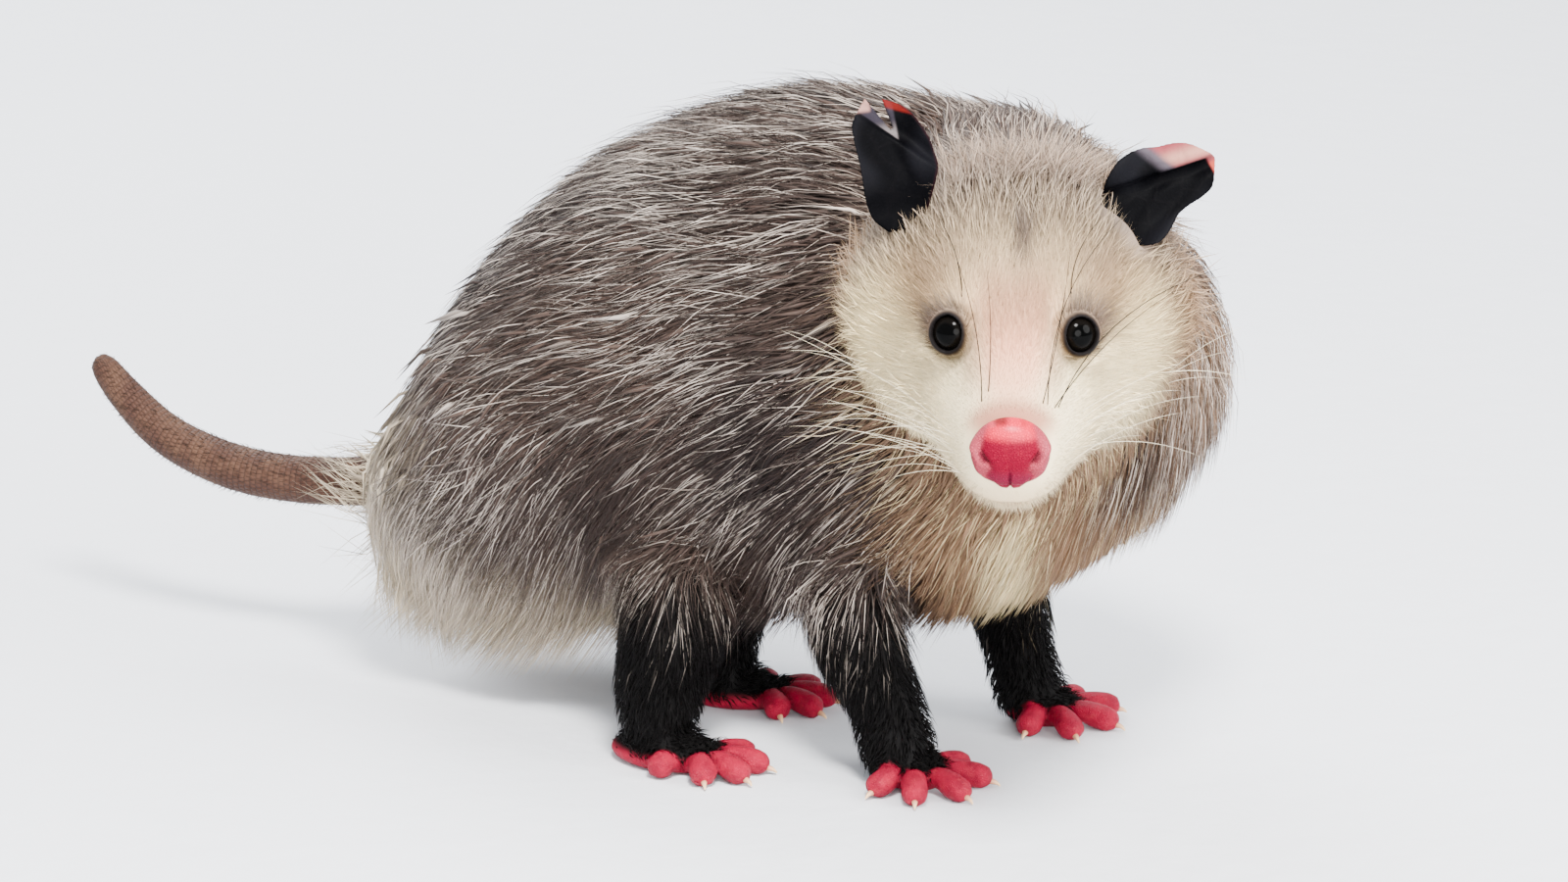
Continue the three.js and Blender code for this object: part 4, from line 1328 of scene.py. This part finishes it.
def tail_scales(p):
    """Which row of scales each point of the tail is in, and which scale of that row."""
    t = np.linspace(0, 1, 400)
    path = spline(TAIL.path, t)
    run = np.concatenate([[0], np.cumsum(np.linalg.norm(np.diff(path, axis=0), axis=1))])
    hit = nearest(path, p)
    ahead = TAIL.along(t)[hit]
    away = p - path[hit]
    across = unit(np.cross(UP, ahead))
    turn = np.arctan2(dot(away, np.cross(ahead, across)), dot(away, across))
    rows = (run[hit] + dot(away, ahead)) / SCALES["long"]
    return rows, (turn / math.tau + 0.5) * SCALES["round"]


def dress_skin(skin, pelt, label):
    """The skin's tint, with painted shade between the toes, its bareness and tail scales."""
    p = pelt.points
    behind, _, over = in_head(p)
    body, ruff, face, _, palm_top, toes, tail = (label == part for part in PARTS)
    tint = pelt.values["under"].copy()
    tint[body | ruff] = mix(tint[body | ruff], DARK, 0.5)
    tint[toes] = PINK
    # Painted shade: the clefts between the toes are darkened.
    tint[toes] = mix(tint, rgb(46, 4, 14), 0.8 * toe_gaps(p))[toes]
    tint[palm_top] = mix(PINK, tint, smooth(p[:, 2], 3.0, 6.5))[palm_top]
    lips = np.exp(-over_mouth(behind, over) ** 2) * (behind < 52) * face
    tint = mix(tint, rgb(120, 52, 44), 0.8 * lips)
    for hand in (1, -1):
        _, _, z, slit = eye_place(p, hand)
        tint = mix(tint, rgb(8, 5, 5), (1 - smooth(slit, 1.05, 1.35)) * (z > -7))
    bare = toes + palm_top * smooth(4 - p[:, 2], -1, 2)
    rows, columns = np.zeros((2, len(p)))
    rows[tail], columns[tail] = tail_scales(p[tail])
    for name, values in {
        "tint": pelt.web.ease(tint, 1), "bare": pelt.web.ease(bare, 3),
        "scaly": tail.astype(float), "tail_rows": rows, "tail_columns": columns,
    }.items():
        set_attribute(skin.data, name, values)


# Head details

def make_eyes(finish):
    """Two dark balls that bulge a little in front, in the places of the solids' eyes."""
    for hand, side in ((1, "left"), (-1, "right")):
        out = gaze(hand)
        across = unit(np.cross(HEAD_OVER, out))
        axes = np.array([across, np.cross(out, across), out])

        def carry(p):
            bulge = 1 + 0.03 * smooth(p[:, 2], 0.5, 1.0)[:, None]
            return eye_centre(hand) + (p * bulge * EYE["radius"]) @ axes
        bm = bmesh.new()
        sphere, _ = ball(bm, carry, 64, 48)
        eye = finished(bm, f"eyeball_{side}", finish)
        turn = np.arccos(np.clip(sphere[:, 2], -1, 1))
        set_attribute(eye.data, "ring", smooth(turn, 0.42, 0.5) * (1 - smooth(turn, 0.72, 0.85)))
        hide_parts(f"eye_{side}")
        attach(eye, "root")


# The moist pad: how far out it reaches at each height over the nose's middle.
PAD_EDGE = np.array([(-11, 3.4), (-9, 5.0), (-5.5, 6.6), (-2.6, 5.6), (0, 6.0),
                     (3, 8.4), (6.5, 7.6), (9, 6.2), (11, 4.5)])
NOSTRIL = {"side": 7.4, "over": -0.1, "wide": 0.6, "rise": 48}


def nose_places(points):
    """Each point's place in the head, how far it is outside the pad's edge, and its place along
    and across a nostril."""
    behind, side, over = in_head(points)
    hand = np.abs(side)
    outside = hand - np.interp(over, PAD_EDGE[:, 0], PAD_EDGE[:, 1])
    x, y = hand - NOSTRIL["side"], over - NOSTRIL["over"]
    turn = math.radians(NOSTRIL["rise"])
    along = x * math.cos(turn) + y * math.sin(turn)
    across = y * math.cos(turn) - x * math.sin(turn) - 0.1 * along ** 2
    return behind, side, over, outside, along, across


def nostril(along, across, long, wide):
    """The comma of a nostril, from 0 to 1."""
    past = np.maximum(np.abs(along - 0.8) - 1.0, 0)
    return np.exp(-(past / long) ** 2 - (across / wide) ** 2)


def shape_nose(points):
    """A blunt front pad between two rounded wings, with comma nostrils and a cleft below."""
    behind, side, over, outside, along, across = nose_places(points)
    points = points - (side * 0.06 * smooth(-over, 1, 10))[:, None] * HEAD_SIDE
    front = 1 - smooth(behind, 2.0, 7.0)
    inward = -unit(points - head_point(np.full_like(side, 9.0), 0 * side, 0 * side))
    pit = nostril(along, across, 0.9, NOSTRIL["wide"])
    seam = np.exp(-((outside - 0.4) / 0.7) ** 2) * smooth(6 - np.abs(over), -1, 2)
    cleft = np.exp(-(side / 0.55) ** 2) * smooth(-over, 1.0, 5.0)
    wing = np.exp(-((outside - 2.6) / 1.7) ** 2 - ((over - 1.0) / 6.0) ** 2)
    pad = 1 - smooth(outside, -2.2, 0.0)
    dish = np.exp(-(side / 3.5) ** 2 - ((over + 1) / 3.5) ** 2)
    lip = np.exp(-((over + 8.4) / 0.8) ** 2) * np.exp(-(side / 6) ** 2)
    deep = 3.0 * pit + 0.5 * seam + 0.8 * cleft + 0.5 * lip + 0.4 * dish - 1.2 * wing - 0.6 * pad
    return points + (front * deep)[:, None] * inward


def make_nose(finish):
    """The nose pad, with a tint for each of its parts, from the wings to the root behind it, painted
    sheen and shade among them.
    """
    bm = bmesh.new()
    ball(bm, round_form(NOSE, 0.0, shape_nose), 144, 112)
    nose = finished(bm, "nose_pad", finish)
    behind, side, over, outside, along, across = nose_places(points_of(nose))
    pad = (1 - smooth(outside, -1.0, 0.9)) * smooth(over, -10.5, -8.0)
    rim = smooth(over + 0.14 * np.abs(side), 9.8, 10.8) * smooth(np.abs(side - 1.0), 0.5, 3.0)
    pit = nostril(along, across, 0.8, 0.7)
    tint = painted(
        rgb(152, 58, 70),
        (rgb(108, 0, 30), pad),
        # Painted sheen: lighter pink over the pad's top, partly the skin's own colour.
        (rgb(218, 22, 56), 0.9 * smooth(over, 5.2, 8.4) * pad),
        (rgb(110, 22, 48), 0.75 * pad * smooth(-over, 1.5, 5.5)),
        (rgb(70, 28, 20), rim * (0.8 - 0.5 * smooth(side, 0, 3))),
        # Painted shade: the nostrils and the cleft below the pad are darkened.
        (rgb(52, 4, 20), 0.85 * pit * (behind < 6)),
        (rgb(58, 2, 20), 0.8 * np.exp(-(side / 0.5) ** 2) * smooth(-over, 2.5, 6.0) * (behind < 6)),
        (rgb(170, 92, 84), smooth(behind, 4.5, 8.5)),
    )
    set_attribute(nose.data, "tint", tint)
    wings = np.exp(-((outside - 2.4) / 0.9) ** 2) * smooth(5 - np.abs(over - 3.5), 0, 3)
    wet = (smooth(over, 5.0, 8.4) * pad + wings) * (1 - rim)
    set_attribute(nose.data, "wet", np.clip(wet, 0, 1))
    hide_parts("nose")
    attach(nose, "root")


# Each ear's outline: how far its two edges lie from its root at even steps up from it. Its fold
# is a line over it, and a point's distance past that line follows from its place up and across.
EARS = {
    "left": {"base": (90, 24, 30), "rise": (-0.25, 0.86, 0.45), "reach": (-5, 39.3),
             "low": (-3, -4.5, -6.3, -10, -12.6, -13.5, -13, -11.1, -9.7, -7.1, -2.5),
             "high": (5, 7.5, 10, 12.8, 14, 12.5, 9.7, 8.9, 8.7, 7.2, 2.5),
             "fold": (-8.6, 0.21, -1.0), "roll": 1.0, "notch": None},
    "right": {"base": (86, -32, 35), "rise": (-0.476, -0.191, 0.859), "reach": (-5, 36),
              "low": (-6.8, -10.4, -11.6, -11.8, -11.7, -11.7, -11.9, -12.2, -12, -9.8, -8),
              "high": (2.6, 5.2, 7.6, 9.6, 11.2, 10.8, 10.2, 8.7, 6.6, 3, -4),
              "fold": (15.9, -0.72, -0.7), "roll": 0.0,
              "notch": [(22.0, 0.4), (40.2, -3.2), (40.2, -9.6)]},
}
# The way that the ears' hollow sides look, and how thick and how cupped they are.
EAR_FACE = (0.875, 0, 0.485)
EAR_THICK = 0.8
EAR_CUP = 5.0
EAR_VOXEL = 0.00042


def ear_axes(shape):
    """The ways up along an ear, across it and out of its hollow side."""
    up = head_way(*shape["rise"])
    across = unit(np.cross(up, head_way(*EAR_FACE)))
    return up, across, unit(np.cross(across, up))


def past_fold(shape, rise, wide):
    """How far past an ear's fold each point is."""
    level, by_rise, by_width = shape["fold"]
    return level + by_rise * rise + by_width * wide


def tear_ear(ear, shape, root):
    """Cut the old tear out of an ear's rim: a narrow wedge down from its tip."""
    up, across, front = ear_axes(shape)
    bm = bmesh.new()
    bmesh.ops.create_cone(bm, cap_ends=True, segments=3, radius1=1, radius2=1, depth=1)
    verts = sorted(bm.verts, key=lambda v: math.atan2(v.co.y, v.co.x))
    for end in (-1, 1):
        ring = [v for v in verts if v.co.z == end / 2]
        for v, (rise, wide) in zip(ring, shape["notch"]):
            v.co = place(root + up * rise + across * wide + front * end * 40)
    tear = finished(bm, "tear")
    with_modifier(ear, "BOOLEAN", object=tear, operation="DIFFERENCE", solver="EXACT")
    bpy.data.objects.remove(tear)


def ear_depth(shape, rise, wide):
    """How far each point of an ear stands out from its plane."""
    past = past_fold(shape, rise, wide)
    depth = EAR_CUP * (1.3 - rise / 40) * (wide / 13) ** 2
    depth += 2.0 * smooth(past, -0.6, 0.6) * smooth(rise, 0, 9)
    depth -= 1.2 * np.exp(-((past + 2.4) / 2.0) ** 2)
    depth -= 0.045 * shape["roll"] * np.clip(past, 0, 9) ** 2
    return depth + 0.25 * np.sin(wide * 0.8 + rise * 0.3) * smooth(rise, 4, 14)


def ear_tint(side, away, rise, wide):
    """Near black with a greyish painted sheen, and the pink and greyish tones of healed frostbite at
    the rim.
    """
    shape = EARS[side]
    past = past_fold(shape, rise, wide)
    # Painted sheen: a lighter grey towards the ear's edges, above its root.
    sheen = smooth(np.abs(wide) / 13 + 0.2 * ripple(away, 20, 6), 0.35, 0.8) * smooth(rise, 4, 14)
    tint = painted(np.tile(rgb(2, 2, 3), (len(away), 1)), (rgb(12, 12, 15), 0.8 * sheen))
    if side == "left":
        start = rise - 24 - 0.4 * (wide + 11)
        rolled = smooth(past, -0.2, 0.3)
        tip = smooth(rise, 36.4, 37.6)
        frost = np.maximum(smooth(start, -1, 2) * rolled, tip)
        soft = mix(rgb(112, 48, 54), rgb(150, 104, 92), np.exp(-((past - 2.8) / 2.2) ** 2))
        return painted(
            tint, (rgb(64, 58, 64), smooth(start, -4.5, -0.5) * rolled), (soft, frost),
            (rgb(150, 58, 36), 0.7 * tip * smooth(wide, 0, 1.5)))
    # Painted sheen: a light grey over the right ear's panel short of the fold, darker higher up.
    panel_sheen = mix(rgb(84, 78, 78), rgb(34, 31, 37), smooth(rise, 24, 28))
    red = smooth(rise + 0.45 * wide, 30.4, 31.4) * smooth(wide, -3.4, -2.6)
    edge = np.interp(rise, np.linspace(*shape["reach"], 11), shape["high"]) - wide
    return painted(
        tint, (panel_sheen, smooth(-past, 0, 0.4) * smooth(1.2 - wide, 0, 0.8)),
        (rgb(132, 98, 90), smooth(rise, 30.6, 32.2) * smooth(-wide, 5.4, 6.4)),
        (rgb(84, 16, 12), 0.8 * red), (rgb(26, 8, 12), 0.6 * smooth(1.0 - edge, 0, 0.8)))


def make_ear(side, finish):
    """One ear as a thin sheet of skin, cupped, folded and torn as its outline says."""
    shape = EARS[side]
    up, across, front = ear_axes(shape)
    root = head_point(*shape["base"])
    low, high = shape["reach"]

    def carry(p):
        x, z, y = p.T
        t = (y + 1) / 2
        ring = np.sqrt(np.maximum(1 - y ** 2, 1e-6))
        edges = spline(np.array([shape["low"], shape["high"]]).T, t)
        close = np.sqrt(1 - np.clip((t - 0.88) / 0.12, 0, 1) ** 2)
        wide = edges.mean(1) + (edges[:, 1] - edges[:, 0]) / 2 * (x / ring) * close
        rise = low + t * (high - low)
        thick = np.sign(z) * np.abs(z / ring) ** 0.6 * EAR_THICK * (1.9 - t)
        out = np.stack([rise, wide, ear_depth(shape, rise, wide) + thick], 1)
        return root + out @ np.array([up, across, front])
    bm = bmesh.new()
    ball(bm, carry, 96, 96)
    ear = finished(bm, f"ear_flap_{side}", finish)
    if shape["notch"]:
        tear_ear(ear, shape, root)
    with_modifier(ear, "REMESH", mode="VOXEL", voxel_size=EAR_VOXEL, use_smooth_shade=True)
    web = Web(ear.data)
    set_points(ear, web.ease(points_of(ear), 3, 0.5))
    away = points_of(ear) - root
    set_attribute(ear.data, "tint", ear_tint(side, away, dot(away, up), dot(away, across)))
    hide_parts(f"ear_{side}")
    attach(ear, "root")


# A claw's spine: how far out from its root and over it each station lies, and its thickness.
CLAW = [(-3.0, 0.6, 0.9), (-0.8, 0, 1.0), (0.8, -0.3, 0.75), (1.9, -0.9, 0.45), (2.5, -1.6, 0.2)]


def make_claws(finish):
    """A small hooked claw on every toe but the thumbs of the hind feet."""
    bm = bmesh.new()
    along = []
    for foot in FEET:
        for _, root, out in toe_forms(foot):
            if root is None:
                continue
            rows = [(*(root + out * far + UP * high), size) for far, high, size in CLAW]
            claw = Form(rows, UP, (0.1, 0.1))
            sphere, _ = ball(bm, round_form(claw, 0.0, press), 12, 14)
            along.append((1 - sphere[:, 2]) / 2)
    claws = finished(bm, "claws", finish)
    set_attribute(claws.data, "along", np.concatenate(along))
    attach(claws, "root")


WHISKER = {"thick": 0.18, "black": 0.42, "long": 60, "steps": 12}
# The long black ones: the root, how far the end lies from it, and the bow between them.
BLACK_WHISKERS = [
    ((19, 11, 5), (-30, 38, 26), (0, -2, 3)), ((21, 12, 4), (-34, 49, 30), (0, -6, 6)),
    ((17, 9.5, 9), (-24, 8, 44), (0, 1, 0)), ((18, 10.5, 7), (-30, 24, 50), (0, -6, 5)),
    ((17, -10, 10), (-20, -8, 38), (0, 2, 0)), ((20, -8, 12), (-16, -1, 34), (0, 1, 0)),
    ((54, 17, 24), (-6, 10, 26), (2, -3, 2)), ((54, -16, 24), (-6, -7, 24), (2, 2, 1)),
]


def make_whiskers(pelt, finish):
    """Whiskers: long black ones that rise over the face, and cream ones on lips and cheeks."""
    draw = np.random.default_rng(31)
    rows = [(*row, True) for row in BLACK_WHISKERS]
    for hand, number in ((1, 14), (-1, 24)):
        for k in range(number):
            cheek = k > 0.7 * number
            share = draw.random()
            start = (60 + 12 * share, hand * 44, -4 - 14 * share) if cheek else (
                10 + 24 * share, hand * 16, -2 - 12 * draw.random())
            way = unit([-0.3 - 0.5 * share, hand, draw.uniform(-0.75, 0.25) + 0.25 * (hand > 0)])
            length = WHISKER["long"] * draw.uniform(0.35, 0.6 if cheek else 1.0)
            bow = np.array([draw.uniform(-2, 2), 0, draw.uniform(2, 7)]) * length / 50
            rows.append((start, way * length, bow, False))
    path, facing = [], []
    s = np.linspace(0, 1, WHISKER["steps"])[:, None]
    axes = np.array([AHEAD, HEAD_SIDE, HEAD_OVER])
    for start, reach, bow, _ in rows:
        found = pelt.tree.find_nearest(Vector(head_point(*start)))
        root, normal = np.array(found[0]), np.array(found[1])
        bend = 4 * s * (1 - s) * (np.array(bow) @ axes)
        path.append(root - normal * 0.8 + s * (np.array(reach) @ axes) + bend)
        facing.append(normal)
    black = np.array([row[3] for row in rows])
    width = np.where(black, WHISKER["black"], WHISKER["thick"]) * draw.uniform(0.85, 1.15, len(rows))
    tint = np.where(black[:, None], rgb(9, 7, 6), rgb(236, 222, 192))
    spots = np.stack([np.linspace(0.05, 0.95, len(rows)), np.full(len(rows), 0.5)], 1)
    obj = tufts("whiskers", np.array(path), np.array(facing), width,
                np.repeat(tint[:, None], WHISKER["steps"], 1), draw.random(len(rows)), spots, finish,
                np.linspace(1, 0.35, WHISKER["steps"] - 1), flat=0.5)


# The animal

def main():
    set_stage()
    skin, label, unwrap = make_skin()
    web = Web(skin.data)
    points = points_of(skin)
    points = web.ease(points, 5, np.where(label == TOE, 0.2, 0.6))
    border = web.ease(label == FACE, 60)
    points = web.ease(points, 90, 2.4 * border * (1 - border))
    points = fill_cheeks(points)
    points = shape_mouth(shape_lids(points))
    clefts = toe_gaps(points) * (label == TOE)
    points = points - per_point(skin, "normal") * (1.3 * clefts)[:, None]
    points[:, 2] = np.maximum(points[:, 2], 0)
    set_points(skin, points)
    skin.data.materials.append(skin_finish())
    pelt = comb_pelt(skin, label, unwrap)
    dress_skin(skin, pelt, label)
    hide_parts("head", "lower_jaw", "neck", "torso", "tail_root", "tail_middle", "tail_tip",
                *LEGS, *FEET)
    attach(skin, "root")

    make_eyes(eye_finish())
    make_nose(nose_finish())
    ears = ear_finish()
    for side in EARS:
        make_ear(side, ears)
    make_claws(claw_finish())

    coat = hair_finish("long_coat", 0.55, 0.4)
    short = hair_finish("face_fur", 0.6, 0.4)
    legs = hair_finish("leg_fur", 0.5, 0.5, gloss=0.05)
    trunk = pelt.values["trunk"]
    lay_coat(pelt, "undercoat", coat, trunk, 20000, steps=2, seed=11, pale=0.12,
             wisp=(5, 0.35), wander=0.18, length=26.0, height=7.5, width=2.2, parts=2,
             clear=off_the_ears)
    lay_coat(pelt, "guard_hair", coat, trunk, 48000, steps=3, seed=12, pale="pale",
             wisp=(5, 0.45), parts=5, clear=off_the_ears, fade=(0.2, 0.7), stiff=0.3)
    lay_coat(pelt, "face_fur", short, pelt.values["face"], 56000, steps=1, seed=13,
             pale=0.65, wisp=(4, 0.3), parts=2, clear=off_the_face, sizes=(0.6, 1.25))
    lay_coat(pelt, "cheek_fur", short, pelt.values["cheeks"], 13000, steps=2, seed=14,
             pale=0.7, wisp=(4, 0.35), wander=0.32, clear=off_the_face, stiff=0.6,
             sizes=(0.55, 1.5))
    lay_coat(pelt, "leg_fur", legs, pelt.values["limbs"], 12000, steps=2, seed=15,
             pale="pale", wisp=(4, 0.35))
    lay_coat(pelt, "tail_bristles", legs, (label == BARE_TAIL).astype(float), 1500,
             steps=2, seed=16, pale=0.9, wisp=(1, 0.0), wander=0.1, length=4.0, height=0.5,
             width=0.3)
    make_whiskers(pelt, short)


main()
